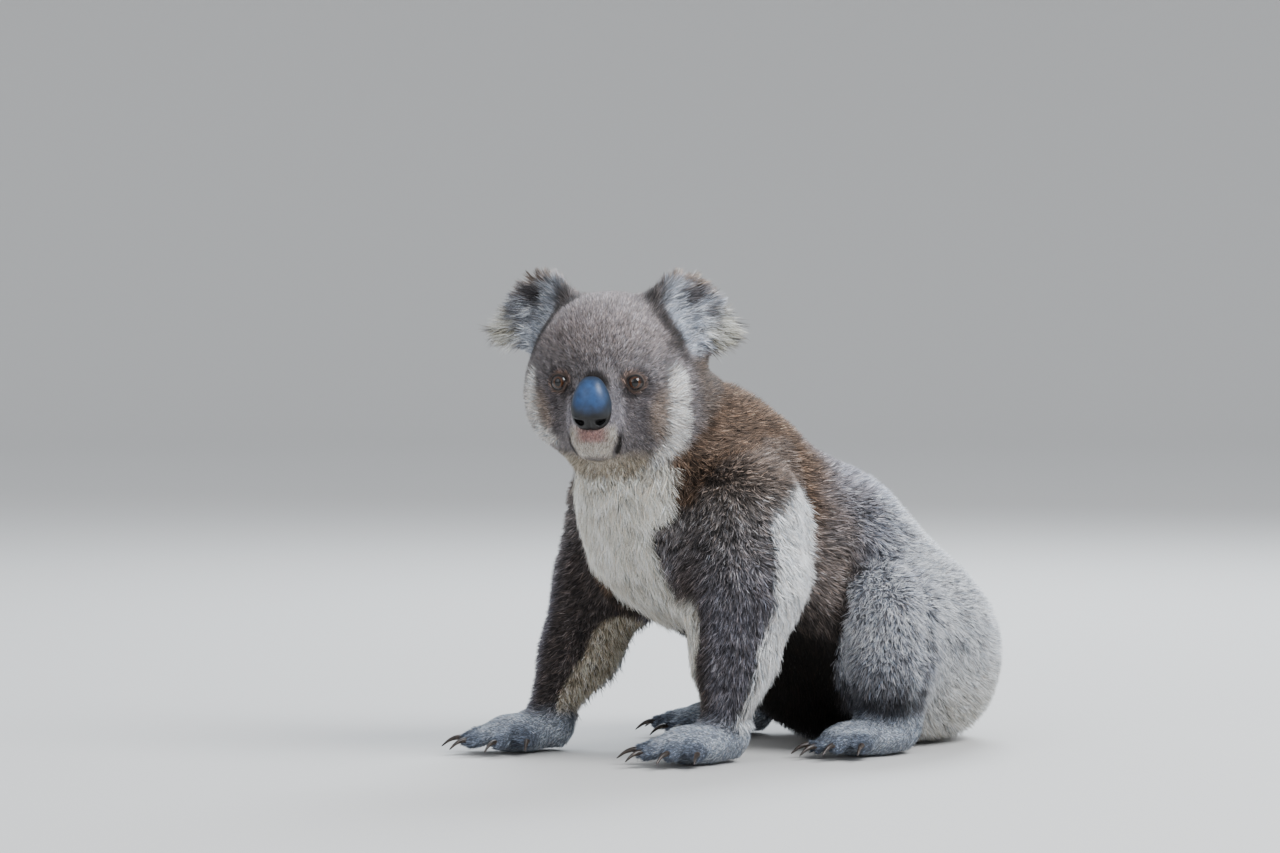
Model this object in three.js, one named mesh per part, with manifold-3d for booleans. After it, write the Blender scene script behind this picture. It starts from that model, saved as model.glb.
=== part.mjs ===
// A life-size adult koala resting on all fours, rump on the ground, head turned to its left.
// Units are millimetres and +Z is up. +X is the animal's left and -Y is the way its trunk faces.
// The solids are the outline of the coat, out to the tips of the fur.

import * as THREE from "three";
import Module from "manifold-3d";

const wasm = await Module();
wasm.setup();

// ---------- driving dimensions ----------

const GAP = 0.4; // clearance between neighbouring solids
const SLIVER = { edge: 12, off: 0.15, turn: 0.8 }; // turn is the cosine of how far a face may turn
const FLOOR = 0; // height of the surface that the hands, feet and rump rest on
const CELL = { trunk: 30, neck: 23, limb: 20, head: 13.2, ear: 12.5 }; // contour grid of each part

const TRUNK = [
  { name: "rump", centre: [0, 105, 82], radii: [120, 119, 109] },
  { name: "loin", centre: [0, 14, 156], radii: [114, 118, 119] },
  { name: "chest", centre: [0, -112, 210], radii: [88, 98, 98] },
  { name: "withers", centre: [0, -92, 254], radii: [78, 88, 80] },
];
const TRUNK_BLEND = 55;

const NECK = { from: [0, -128, 270], to: [12, -190, 325], radii: [72, 66], blend: 45 };
const RUFF = { centre: [14, -186, 246], radii: [60, 50, 88], blend: 35 };

// Each limb is a chain of balls; its outline swells and tapers from one to the next.
const FORELEG = {
  left: [
    { at: [84, -126, 226], radius: 63 },
    { at: [97, -128, 165], radius: 57 },
    { at: [95, -134, 98], radius: 38 },
    { at: [86, -138, 40], radius: 25 },
  ],
  right: [
    { at: [-84, -128, 224], radius: 60 },
    { at: [-98, -142, 155], radius: 48 },
    { at: [-98, -172, 92], radius: 36 },
    { at: [-92, -208, 40], radius: 25 },
  ],
};
const HIND_LEG = [
  { at: [74, 92, 108], radius: 69 },
  { at: [106, 34, 122], radius: 50 },
  { at: [114, 24, 78], radius: 41 },
  { at: [112, 32, 34], radius: 32 },
];
const LIMB_BLEND = { along: 22, toTrunk: 26 };

const HEAD = {
  centre: [17, -218, 352],
  yaw: 46, // degrees to the animal's left
  pitch: 2, // degrees nose down
  blend: 26, // between the masses of the face
  toNeck: 34,
};
// In the head's own frame: +X its left, -Y forwards, +Z up. A mass with mirror is on both sides,
// and one with blend is joined on by that much.
const FACE = [
  { name: "skull", centre: [0, 8, 8], radii: [70, 74, 66] },
  { name: "cheek", centre: [37, -10, -24], radii: [38, 45, 43], mirror: true },
  { name: "brow", centre: [0, -34, 20], radii: [50, 40, 42] },
  { name: "muzzle", centre: [0, -66, -33], radii: [26, 38, 31], blend: 18 },
  { name: "lip", centre: [0, -62, -54], radii: [27, 33, 23], blend: 18 },
];
const EYE = { centre: [33, -61.5, -6], facing: [0.5, -0.86, 0.05], radius: 9.5, hollow: 15, hollowDepth: 3 };
const EAR = {
  centre: [63, 20, 54],
  facing: [0.42, -0.88, 0.12], // the way the cup opens
  radii: [39, 40, 19], // out, up, and through the thickness
  cup: { radii: [28, 28, 16], forward: 20 },
  fringe: { centre: [28, -13, 0], radii: [30, 24, 13] }, // long fur on the outer rim
  blend: 12,
};
const NOSE = {
  centre: [0, -97, -25],
  radii: [19.5, 15, 26],
  square: 2.7, // 2 is an ellipse, more is squarer seen from in front
  narrowing: 0.24, // how much of its width the top loses
  nostril: { centre: [9.5, -110, -41], radii: [4.6, 6, 3.4] },
};

// Digits fan out from the pad of the palm or sole. A fan angle is in degrees from straight
// ahead, with outwards from the body positive.
const FOREPAW = {
  left: { wrist: [86, -140], turn: 4 },
  right: { wrist: [-92, -210], turn: 2 },
  top: 36, // height of the cut through the wrist
  wristRadius: 25,
  pad: { ahead: 31, radii: [30, 42, 20] },
  digits: [
    { fan: -52, from: 22, reach: 42, radius: 10 },
    { fan: -27, from: 40, reach: 46, radius: 10.5 },
    { fan: -3, from: 48, reach: 46, radius: 11 },
    { fan: 18, from: 44, reach: 44, radius: 11 },
    { fan: 40, from: 32, reach: 41, radius: 10 },
  ],
};
const HINDPAW = {
  left: { wrist: [112, 32], turn: 8 },
  right: { wrist: [-112, 32], turn: 8 },
  top: 34,
  wristRadius: 30,
  pad: { ahead: 30, radii: [28, 50, 19] },
  digits: [
    { fan: -62, from: 20, reach: 38, radius: 11, clawless: true }, // the thumb-like first toe
    { fan: -19, from: 56, reach: 34, radius: 8.5 },
    { fan: -6, from: 60, reach: 34, radius: 8.5 },
    { fan: 12, from: 58, reach: 38, radius: 11 },
    { fan: 31, from: 48, reach: 36, radius: 11 },
  ],
};
const DIGIT = { sides: 6, rings: 3, rise: 9, knuckle: 0.42 }; // rise of the knuckle, and how far along it is
const CLAW = { length: 21, drop: 7, radius: 3.6, tip: 0.7, inset: 4, sides: 5, rings: 3 };

// Boxes that part the limbs from the trunk. Each stands on the plane through foot.
const CUTS = {
  ear: { out: 74, lean: [0.72, 0, 0.69], across: [150, 110], height: 110 },
  neckTop: { foot: [8, -172, 306], axis: [0.1, -0.55, 0.83], across: [330, 330], height: 300 },
  neckHeight: 46,
  neckAcross: [190, 260],
  arm: {
    left: { foot: [118, -132, 150], axis: [0, 0.06, 1], across: [126, 150], height: 146 },
    right: { foot: [-118, -134, 146], axis: [0, 0.2, 1], across: [126, 150], height: 146 },
  },
  forearm: {
    left: { foot: [110, -136, 36], axis: [0, 0, 1], across: [110, 150], height: 113 },
    right: { foot: [-110, -176, 36], axis: [0, 0, 1], across: [122, 150], height: 122 },
  },
  thigh: { foot: [124, 62, 88], axis: [0, 0.12, 1], across: [112, 160], height: 150 },
  shank: { foot: [124, 24, 34], axis: [0, 0, 1], across: [102, 116], height: 62 },
  hindpaw: { foot: [130, -16, -5], axis: [0, 0, 1], across: [112, 180], height: 39 },
};

// ---------- materials ----------

const COATS = {
  crown: 0x7b706d,
  back: 0x857b78,
  rump: 0xa29d9c,
  limb: 0x6e6766,
  paw: 0x4c4f5a,
  ear: 0x93929a,
};

const furMaterials = Object.fromEntries(
  Object.entries(COATS).map(([name, color]) => [
    name,
    new THREE.MeshStandardMaterial({ color, roughness: 0.95, metalness: 0 }),
  ]),
);
const noseMaterial = new THREE.MeshStandardMaterial({ color: 0x36404a, roughness: 0.5, metalness: 0 });
const eyeMaterial = new THREE.MeshStandardMaterial({ color: 0x3a2013, roughness: 0.08, metalness: 0 });
const clawMaterial = new THREE.MeshStandardMaterial({ color: 0x2a2522, roughness: 0.4, metalness: 0 });

// ---------- small helpers ----------

const vec = (a) => new THREE.Vector3(...a);
const onSide = (a, side) => [a[0] * side, ...a.slice(1)];
const mirrored = (cut, side) => ({ ...cut, foot: onSide(cut.foot, side), axis: onSide(cut.axis, side) });
const SIDES = { left: 1, right: -1 };

// ---------- distance fields: negative inside, roughly in millimetres ----------

function ellipsoid(p, centre, radii) {
  const [x, y, z] = [p.x - centre[0], p.y - centre[1], p.z - centre[2]];
  const [a, b, c] = radii;
  const near = Math.hypot(x / a, y / b, z / c);
  const steep = Math.hypot(x / (a * a), y / (b * b), z / (c * c));
  return steep < 1e-9 ? -Math.min(a, b, c) : (near * (near - 1)) / steep;
}

// A round bar from a to b whose radius runs from ra to rb.
function bar(p, a, b, ra, rb) {
  const ab = [b[0] - a[0], b[1] - a[1], b[2] - a[2]];
  const ap = [p.x - a[0], p.y - a[1], p.z - a[2]];
  const along = (ap[0] * ab[0] + ap[1] * ab[1] + ap[2] * ab[2]) / (ab[0] ** 2 + ab[1] ** 2 + ab[2] ** 2);
  const t = THREE.MathUtils.clamp(along, 0, 1);
  const off = Math.hypot(ap[0] - t * ab[0], ap[1] - t * ab[1], ap[2] - t * ab[2]);
  return off - THREE.MathUtils.lerp(ra, rb, t);
}

// Union of two fields with a fillet of about the size of k.
function join(a, b, k) {
  const h = Math.max(k - Math.abs(a - b), 0) / k;
  return Math.min(a, b) - (h * h * k) / 4;
}

// Field a with field b pressed out of it, with a rounded rim.
const pressOut = (a, b, k) => -join(-a, b, k);

function limb(p, joints, side = 1) {
  let d = Infinity;
  for (let i = 1; i < joints.length; i++) {
    const [a, b] = [joints[i - 1], joints[i]];
    d = join(d, bar(p, onSide(a.at, side), onSide(b.at, side), a.radius, b.radius), LIMB_BLEND.along);
  }
  return d;
}

function trunk(p) {
  let d = Infinity;
  for (const mass of TRUNK) d = join(d, ellipsoid(p, mass.centre, mass.radii), TRUNK_BLEND);
  d = join(d, bar(p, NECK.from, NECK.to, ...NECK.radii), NECK.blend);
  return join(d, ellipsoid(p, RUFF.centre, RUFF.radii), RUFF.blend);
}

// The ear's own frame: +X outwards, +Y up, +Z the way the cup faces. It is set in the head's frame.
function earFrame(side) {
  const z = vec(onSide(EAR.facing, side)).normalize();
  const x = new THREE.Vector3(-z.y, z.x, 0).normalize().multiplyScalar(side);
  const y = new THREE.Vector3().crossVectors(z, x).multiplyScalar(side);
  return { x, y, z, centre: vec(onSide(EAR.centre, side)) };
}

const EAR_FRAMES = Object.values(SIDES).map(earFrame);

function ear(p, frame) {
  const off = p.clone().sub(frame.centre);
  const q = new THREE.Vector3(off.dot(frame.x), off.dot(frame.y), off.dot(frame.z));
  const disc = ellipsoid(q, [0, 0, 0], EAR.radii);
  const furry = join(disc, ellipsoid(q, EAR.fringe.centre, EAR.fringe.radii), EAR.blend);
  return pressOut(furry, ellipsoid(q, [0, 0, EAR.cup.forward], EAR.cup.radii), EAR.blend);
}

// p is in the head's frame.
function head(p) {
  const q = new THREE.Vector3(Math.abs(p.x), p.y, p.z);
  let d = Infinity;
  for (const { mirror, centre, radii, blend = HEAD.blend } of FACE)
    d = join(d, ellipsoid(mirror ? q : p, centre, radii), blend);
  const inFront = vec(EYE.facing).setLength(EYE.radius + EYE.hollow - EYE.hollowDepth);
  const front = inFront.add(vec(EYE.centre)).toArray();
  d = pressOut(d, ellipsoid(q, front, [EYE.hollow, EYE.hollow, EYE.hollow]), EYE.hollowDepth);
  for (const frame of EAR_FRAMES) d = join(d, ear(p, frame), EAR.blend);
  return d;
}

const headGroup = new THREE.Group();
headGroup.position.set(...HEAD.centre);
headGroup.rotation.set(THREE.MathUtils.degToRad(HEAD.pitch), 0, THREE.MathUtils.degToRad(HEAD.yaw), "ZXY");
headGroup.updateMatrixWorld(true);
const fromHead = headGroup.matrixWorld;
const toHead = fromHead.clone().invert();

// The whole animal but for its hands and feet, cut level at the floor.
function flesh(p) {
  let d = trunk(p);
  for (const [name, side] of Object.entries(SIDES)) {
    d = join(d, limb(p, FORELEG[name]), LIMB_BLEND.toTrunk);
    d = join(d, limb(p, HIND_LEG, side), LIMB_BLEND.toTrunk);
  }
  d = join(d, head(p.clone().applyMatrix4(toHead)), HEAD.toNeck);
  return Math.max(d, FLOOR - p.z);
}

const fleshInHead = (p) => flesh(p.clone().applyMatrix4(fromHead));

// ---------- making solids ----------

function solid(places, faces) {
  const vertProperties = new Float32Array(places.flatMap((p) => [p.x, p.y, p.z]));
  return new wasm.Manifold(new wasm.Mesh({ numProp: 3, vertProperties, triVerts: new Uint32Array(faces) }));
}

function eachCell(n, less, visit) {
  for (let i = 0; i < n[0] - less; i++)
    for (let j = 0; j < n[1] - less; j++) for (let k = 0; k < n[2] - less; k++) visit(i, j, k);
}

// Moves a point onto the surface along the field's slope, by at most reach.
function settle(field, place, reach) {
  const step = 0.5;
  const f = field(place);
  const slope = new THREE.Vector3(
    field(place.clone().setX(place.x + step)) - f,
    field(place.clone().setY(place.y + step)) - f,
    field(place.clone().setZ(place.z + step)) - f,
  ).divideScalar(step);
  const move = slope.multiplyScalar(-f / Math.max(slope.lengthSq(), 0.2)).clampLength(0, reach);
  return place.add(move);
}

// Closed surface where the field is 0, by surface nets: a vertex in each grid cell that the
// surface crosses, and a quad round each grid edge that it crosses. The border counts as outside.
function contour(field, bounds, cell) {
  const n = bounds.getSize(new THREE.Vector3()).toArray().map((s) => Math.ceil(s / cell) + 3);
  const at = (i, j, k) => (i * n[1] + j) * n[2] + k;
  const point = (i, j, k) => new THREE.Vector3(i - 1, j - 1, k - 1).multiplyScalar(cell).add(bounds.min);
  const onBorder = (i, j, k) => [i, j, k].some((v, axis) => v === 0 || v === n[axis] - 1);
  const value = new Float32Array(n[0] * n[1] * n[2]);
  eachCell(n, 0, (i, j, k) => {
    value[at(i, j, k)] = onBorder(i, j, k) ? cell : field(point(i, j, k)) || Number.EPSILON;
  });

  const corners = [0, 1, 2, 3, 4, 5, 6, 7].map((c) => [c & 1, (c >> 1) & 1, (c >> 2) & 1]);
  const vertexOf = new Int32Array(value.length).fill(-1);
  const places = [];
  eachCell(n, 1, (i, j, k) => {
    const here = corners.map(([a, b, c]) => value[at(i + a, j + b, k + c)]);
    if (here.every((v) => v > 0) || here.every((v) => v < 0)) return;
    const sum = new THREE.Vector3();
    let crossings = 0;
    for (let a = 0; a < 8; a++)
      for (const bit of [1, 2, 4]) {
        const b = a | bit;
        if (a === b || here[a] > 0 === here[b] > 0) continue;
        sum.add(vec(corners[a]).lerp(vec(corners[b]), here[a] / (here[a] - here[b])));
        crossings++;
      }
    const inside = [i, j, k].every((v, axis) => v > 0 && v < n[axis] - 2);
    const place = sum.divideScalar(crossings).multiplyScalar(cell).add(point(i, j, k));
    vertexOf[at(i, j, k)] = places.length;
    places.push(inside ? settle(field, place, cell / 3) : place);
  });

  const faces = [];
  const quad = (a, b, c, d, flip) => {
    const short = places[a].distanceTo(places[c]) < places[b].distanceTo(places[d]);
    const split = short ? [a, b, c, a, c, d] : [b, c, d, b, d, a];
    faces.push(...(flip ? split : split.reverse()));
  };
  eachCell(n, 1, (i, j, k) => {
    const v = value[at(i, j, k)];
    const cellAt = (a, b, c) => vertexOf[at(i - a, j - b, k - c)];
    const crossed = (other) => v > 0 !== other > 0;
    if (j > 0 && k > 0 && crossed(value[at(i + 1, j, k)]))
      quad(cellAt(0, 0, 0), cellAt(0, 1, 0), cellAt(0, 1, 1), cellAt(0, 0, 1), v < 0);
    if (i > 0 && k > 0 && crossed(value[at(i, j + 1, k)]))
      quad(cellAt(0, 0, 0), cellAt(0, 0, 1), cellAt(1, 0, 1), cellAt(1, 0, 0), v < 0);
    if (i > 0 && j > 0 && crossed(value[at(i, j, k + 1)]))
      quad(cellAt(0, 0, 0), cellAt(1, 0, 0), cellAt(1, 1, 0), cellAt(0, 1, 0), v < 0);
  });
  return solid(places, faces);
}

// A three.js geometry as a solid: vertices that share a place become one, so that it is closed.
function weld(geometry) {
  const flat = geometry.index ? geometry.toNonIndexed() : geometry;
  const position = flat.getAttribute("position");
  const numberOf = new Map();
  const places = [];
  const index = [];
  for (let i = 0; i < position.count; i++) {
    const p = new THREE.Vector3().fromBufferAttribute(position, i);
    const key = p.toArray().map((v) => Math.round(v * 1e3)).join();
    if (!numberOf.has(key)) numberOf.set(key, places.push(p) - 1);
    index.push(numberOf.get(key));
  }
  const faces = [];
  for (let i = 0; i < index.length; i += 3) {
    const face = index.slice(i, i + 3);
    if (new Set(face).size === 3) faces.push(...face);
  }
  return solid(places, faces);
}

// A box turned so that its +Z runs along axis, standing on the plane through foot.
function cutter({ foot, axis, across, height }, grow = 0) {
  const up = vec(axis).normalize();
  const turn = new THREE.Quaternion().setFromUnitVectors(new THREE.Vector3(0, 0, 1), up);
  const centre = vec(foot).addScaledVector(up, height / 2);
  const box = new THREE.BoxGeometry(across[0] + 2 * grow, across[1] + 2 * grow, height + 2 * grow);
  return weld(box.applyQuaternion(turn).translate(...centre.toArray()));
}

// Rings round a line of centres, with a pole at each end. side is the ring's first axis.
function loft(centres, radii, side, sides) {
  const places = [];
  const faces = [];
  centres.forEach((centre, i) => {
    const tangent = centres[Math.min(i + 1, centres.length - 1)].clone().sub(centres[Math.max(i - 1, 0)]);
    const other = new THREE.Vector3().crossVectors(tangent.normalize(), side).normalize();
    for (let s = 0; s < sides; s++) {
      const angle = (s / sides) * 2 * Math.PI;
      places.push(
        centre.clone()
          .addScaledVector(side, radii[i] * Math.cos(angle))
          .addScaledVector(other, radii[i] * Math.sin(angle)),
      );
    }
  });
  const ring = (i, s) => i * sides + (s % sides);
  for (let i = 1; i < centres.length; i++)
    for (let s = 0; s < sides; s++)
      faces.push(ring(i - 1, s), ring(i, s), ring(i, s + 1), ring(i - 1, s), ring(i, s + 1), ring(i - 1, s + 1));
  const last = centres.length - 1;
  const poles = [places.push(centres[0].clone()) - 1, places.push(centres[last].clone()) - 1];
  for (let s = 0; s < sides; s++) faces.push(poles[0], ring(0, s), ring(0, s + 1));
  for (let s = 0; s < sides; s++) faces.push(poles[1], ring(last, s + 1), ring(last, s));
  return solid(places, faces.reverse());
}

// The largest of the bodies that a cut leaves.
const largest = (made) => made.decompose().reduce((a, b) => (a.volume() > b.volume() ? a : b));

const normalOf = (a, b, c) => new THREE.Vector3().crossVectors(b.clone().sub(a), c.clone().sub(a));

// Drops the slivers that cuts leave: an edge shorter than SLIVER.edge is closed up to one of its
// ends, where that end is within SLIVER.off of the plane of every face that moves.
function withoutSlivers(made) {
  const mesh = made.getMesh();
  const places = [];
  for (let i = 0; i < mesh.vertProperties.length; i += 3) places.push(vec(mesh.vertProperties.slice(i, i + 3)));
  let faces = [];
  for (let i = 0; i < mesh.triVerts.length; i += 3) faces.push([...mesh.triVerts.slice(i, i + 3)]);
  const facesAt = places.map(() => new Set());
  for (const face of faces) for (const v of face) facesAt[v].add(face);
  const around = (v) => new Set([...facesAt[v]].flat().filter((other) => other !== v));

  function canMove(from, to) {
    const shared = [...around(from)].filter((v) => around(to).has(v));
    if (shared.length !== 2) return false;
    return [...facesAt[from]].every((face) => {
      if (face.includes(to)) return true;
      const before = normalOf(...face.map((v) => places[v])).normalize();
      const after = normalOf(...face.map((v) => places[v === from ? to : v])).normalize();
      const off = Math.abs(places[to].clone().sub(places[from]).dot(before));
      return off < SLIVER.off && before.dot(after) > SLIVER.turn;
    });
  }

  for (let changed = true; changed; ) {
    changed = false;
    for (let from = 0; from < places.length; from++) {
      const near = [...around(from)].filter((to) => places[to].distanceTo(places[from]) < SLIVER.edge);
      const to = near.find((other) => canMove(from, other));
      if (to === undefined) continue;
      for (const face of facesAt[from]) {
        if (face.includes(to)) face.forEach((v) => v !== from && facesAt[v].delete(face));
        else facesAt[to].add(face);
        face[face.indexOf(from)] = to;
      }
      facesAt[from].clear();
      changed = true;
    }
  }
  faces = faces.filter((face) => new Set(face).size === 3);
  const numberOf = new Map([...new Set(faces.flat())].map((v, i) => [v, i]));
  return solid([...numberOf.keys()].map((v) => places[v]), faces.flat().map((v) => numberOf.get(v)));
}

function geometryOf(made) {
  const mesh = made.getMesh();
  return new THREE.BufferGeometry()
    .setAttribute("position", new THREE.BufferAttribute(new Float32Array(mesh.vertProperties), 3))
    .setIndex(new THREE.BufferAttribute(new Uint32Array(mesh.triVerts), 1));
}

const koala = new THREE.Group();
const body = new THREE.Group();
koala.add(body);

function add(name, made, material, parent = body) {
  const geometry = geometryOf(withoutSlivers(made));
  geometry.computeVertexNormals();
  const mesh = new THREE.Mesh(geometry, material);
  mesh.name = name;
  parent.add(mesh);
}

// ---------- head, in its own frame ----------

const inHead = (cut) => ({
  ...cut,
  foot: vec(cut.foot).applyMatrix4(toHead).toArray(),
  axis: vec(cut.axis).transformDirection(toHead).toArray(),
});

function eyeball(side, grow = 0) {
  const ball = new THREE.SphereGeometry(EYE.radius + grow, 12, 8);
  return weld(ball.translate(...onSide(EYE.centre, side)));
}

// The leathery nose pad: tall, bulging, narrower at the top, with two nostrils low at its sides.
function nosePad(grow = 0) {
  const pad = new THREE.SphereGeometry(1, 14, 10);
  const position = pad.getAttribute("position");
  const [rx, ry, rz] = NOSE.radii.map((r) => r + grow);
  for (let i = 0; i < position.count; i++) {
    const p = new THREE.Vector3().fromBufferAttribute(position, i);
    const flat = Math.hypot(p.x, p.z);
    const square = (Math.abs(p.x) ** NOSE.square + Math.abs(p.z) ** NOSE.square) ** (1 / NOSE.square);
    const spread = flat > 0 ? flat / square : 1;
    const width = 1 - NOSE.narrowing * THREE.MathUtils.smoothstep(p.z, -0.2, 1);
    position.setXYZ(i, p.x * spread * width * rx, p.y * ry, p.z * spread * rz);
  }
  return weld(pad.translate(...NOSE.centre));
}

function nostril(side) {
  const hole = new THREE.SphereGeometry(1, 6, 4).scale(...NOSE.nostril.radii);
  return weld(hole.translate(...onSide(NOSE.nostril.centre, side)));
}

const earCut = (side, grow) => {
  const axis = vec(CUTS.ear.lean).normalize();
  const foot = vec(FACE[0].centre).addScaledVector(axis, CUTS.ear.out);
  return cutter(mirrored({ ...CUTS.ear, foot: foot.toArray(), axis: axis.toArray() }, side), grow);
};

function makeHead() {
  const span = new THREE.Box3(vec([-96, -130, -100]), vec([96, 120, 110]));
  let skull = contour(fleshInHead, span, CELL.head).intersect(cutter(inHead(CUTS.neckTop)));
  skull = skull.subtract(nosePad(GAP));
  for (const [name, side] of Object.entries(SIDES)) {
    const reach = onSide([40, -40, 0], side);
    const corner = onSide([150, 80, 130], side);
    const ears = contour(fleshInHead, new THREE.Box3().setFromPoints([vec(reach), vec(corner)]), CELL.ear);
    add(`ear_${name}`, largest(ears.intersect(earCut(side, 0))), furMaterials.ear, headGroup);
    add(`eye_${name}`, eyeball(side), eyeMaterial, headGroup);
    skull = skull.subtract(earCut(side, GAP)).subtract(eyeball(side, GAP));
  }
  add("head", largest(skull), furMaterials.crown, headGroup);
  add("nose", nosePad().subtract(nostril(1)).subtract(nostril(-1)), noseMaterial, headGroup);
}

// ---------- paws ----------

// Directions of a paw that points the way its turn says: ahead of it, and out from the body.
function heading(turn, fan, side) {
  const angle = THREE.MathUtils.degToRad(turn + fan);
  return {
    ahead: new THREE.Vector3(side * Math.sin(angle), -Math.cos(angle), 0),
    out: new THREE.Vector3(side * Math.cos(angle), Math.sin(angle), 0),
  };
}

function digitLine(paw, place, digit, side) {
  const { ahead, out } = heading(place.turn, digit.fan, side);
  const middle = heading(place.turn, 0, side).ahead;
  const pad = vec([...place.wrist, digit.radius]).addScaledVector(middle, paw.pad.ahead * 0.6);
  const low = digit.radius - 1.5; // the pads of the digits are pressed flat on the floor
  const at = (along, height) => pad.clone().addScaledVector(ahead, along).setZ(height);
  const reach = digit.from + digit.reach - paw.pad.ahead * 0.6;
  const knuckle = THREE.MathUtils.lerp(0, reach, DIGIT.knuckle + 0.2);
  const line = new THREE.CatmullRomCurve3([at(0, low + 7), at(knuckle, low + DIGIT.rise), at(reach, low)]);
  return { line, ahead, out };
}

function digitSolid(paw, place, digit, side) {
  const { line, out } = digitLine(paw, place, digit, side);
  const centres = line.getPoints(DIGIT.rings);
  const radii = centres.map((_, i) => digit.radius * (1 - 0.08 * (i / DIGIT.rings)));
  radii[DIGIT.rings] *= 0.62;
  return loft(centres, radii, out, DIGIT.sides);
}

// A curved claw from inside the end of its digit to a point just above the floor.
function claw(paw, place, digit, side, grow = 0) {
  const { line, ahead, out } = digitLine(paw, place, digit, side);
  const root = line.getPoint(1).addScaledVector(ahead, -CLAW.inset - grow).setZ(digit.radius + 3.5);
  const at = (share) =>
    root.clone()
      .addScaledVector(ahead, share * CLAW.length)
      .add(new THREE.Vector3(0, 0, CLAW.drop * (0.9 * share - 2 * share * share)));
  const centres = [];
  const radii = [];
  for (let i = 0; i <= CLAW.rings; i++) {
    centres.push(at(i / CLAW.rings));
    radii.push(THREE.MathUtils.lerp(CLAW.radius, CLAW.tip, (i / CLAW.rings) ** 1.3) + grow);
  }
  return loft(centres, radii, out, CLAW.sides);
}

function makePaw(kind, paw, name) {
  const side = SIDES[name];
  const place = paw[name];
  const { ahead } = heading(place.turn, 0, side);
  const pad = new THREE.SphereGeometry(1, 10, 6).scale(...paw.pad.radii);
  pad.rotateZ(-side * THREE.MathUtils.degToRad(place.turn));
  const middle = vec([...place.wrist, paw.pad.radii[2] - 2]).addScaledVector(ahead, paw.pad.ahead);
  let made = weld(pad.translate(...middle.toArray()));
  const wrist = [paw.top + 14, 18, 3].map((z) => vec([...place.wrist, z]));
  const wristRadii = [1, 0.97, 0.6].map((share) => share * paw.wristRadius);
  made = made.add(loft(wrist, wristRadii, new THREE.Vector3(1, 0, 0), 10));
  for (const digit of paw.digits) made = made.add(digitSolid(paw, place, digit, side));
  const span = 400;
  const room = { foot: [...place.wrist, FLOOR], axis: [0, 0, 1], across: [span, span], height: paw.top - GAP };
  made = made.intersect(cutter(room));
  paw.digits.forEach((digit, i) => {
    if (digit.clawless) return;
    made = made.subtract(claw(paw, place, digit, side, GAP));
    add(`${kind}_claw_${name}_${i + 1}`, claw(paw, place, digit, side), clawMaterial);
  });
  add(`${kind}_${name}`, largest(made), furMaterials.paw);
}

// ---------- trunk and limbs ----------

// Each part is the animal's outline inside its box, less the boxes of the parts made before it.
const taken = [];

function part(name, cut, cell, material) {
  const span = new THREE.Box3().setFromPoints(cornersOf(cut));
  const clipped = contour(flesh, span.expandByScalar(cell), cell).intersect(cutter(cut));
  const free = taken.reduce((made, other) => made.subtract(cutter(other, GAP)), clipped);
  add(name, largest(free), material);
  taken.push(cut);
}

function cornersOf({ foot, axis, across, height }) {
  const up = vec(axis).normalize();
  const turn = new THREE.Quaternion().setFromUnitVectors(new THREE.Vector3(0, 0, 1), up);
  const corners = [];
  for (const x of [-0.5, 0.5])
    for (const y of [-0.5, 0.5])
      for (const z of [0, 1])
        corners.push(new THREE.Vector3(x * across[0], y * across[1], z * height).applyQuaternion(turn).add(vec(foot)));
  return corners;
}

function makeBody() {
  taken.push(CUTS.neckTop);
  const neckAxis = vec(CUTS.neckTop.axis).normalize();
  const neckFoot = vec(CUTS.neckTop.foot).addScaledVector(neckAxis, -CUTS.neckHeight);
  const neck = { ...CUTS.neckTop, foot: neckFoot.toArray(), across: CUTS.neckAcross, height: CUTS.neckHeight };
  part("neck", neck, CELL.neck, furMaterials.back);
  for (const [name, side] of Object.entries(SIDES)) {
    part(`arm_${name}`, CUTS.arm[name], CELL.limb, furMaterials.limb);
    part(`forearm_${name}`, CUTS.forearm[name], CELL.limb, furMaterials.limb);
    part(`thigh_${name}`, mirrored(CUTS.thigh, side), CELL.limb, furMaterials.rump);
    part(`shank_${name}`, mirrored(CUTS.shank, side), CELL.limb, furMaterials.limb);
    taken.push(mirrored(CUTS.hindpaw, side));
  }
  const all = { foot: [0, 0, FLOOR], axis: [0, 0, 1], across: [320, 560], height: 420 };
  part("trunk", all, CELL.trunk, furMaterials.back);
}

makeHead();
makeBody();
for (const name of Object.keys(SIDES)) {
  makePaw("forepaw", FOREPAW, name);
  makePaw("hindpaw", HINDPAW, name);
}
body.add(headGroup);

// The origin is on the floor, under the middle of the animal's bounding box.
const middle = new THREE.Box3().setFromObject(body, true).getCenter(new THREE.Vector3());
body.position.set(-middle.x, -middle.y, 0);

export default koala;
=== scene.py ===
"""A life-size adult koala, resting on its hands, feet and rump, with its head turned to its left.

One skin lies under the coat by the depth of the fur. The coat is solid mesh: small tapered tufts that
follow the lie of the hair. The eyes, the nose and the claws are pieces of their own.

Lengths are in mm in the part's own frame, +X its left, -Y the way its trunk faces and +Z up. Points
named h are in the head's frame, and points named e in an ear's.
"""

import math

import bpy
import numpy as np
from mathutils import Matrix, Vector
from mathutils.bvhtree import BVHTree
from mathutils.kdtree import KDTree


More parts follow.
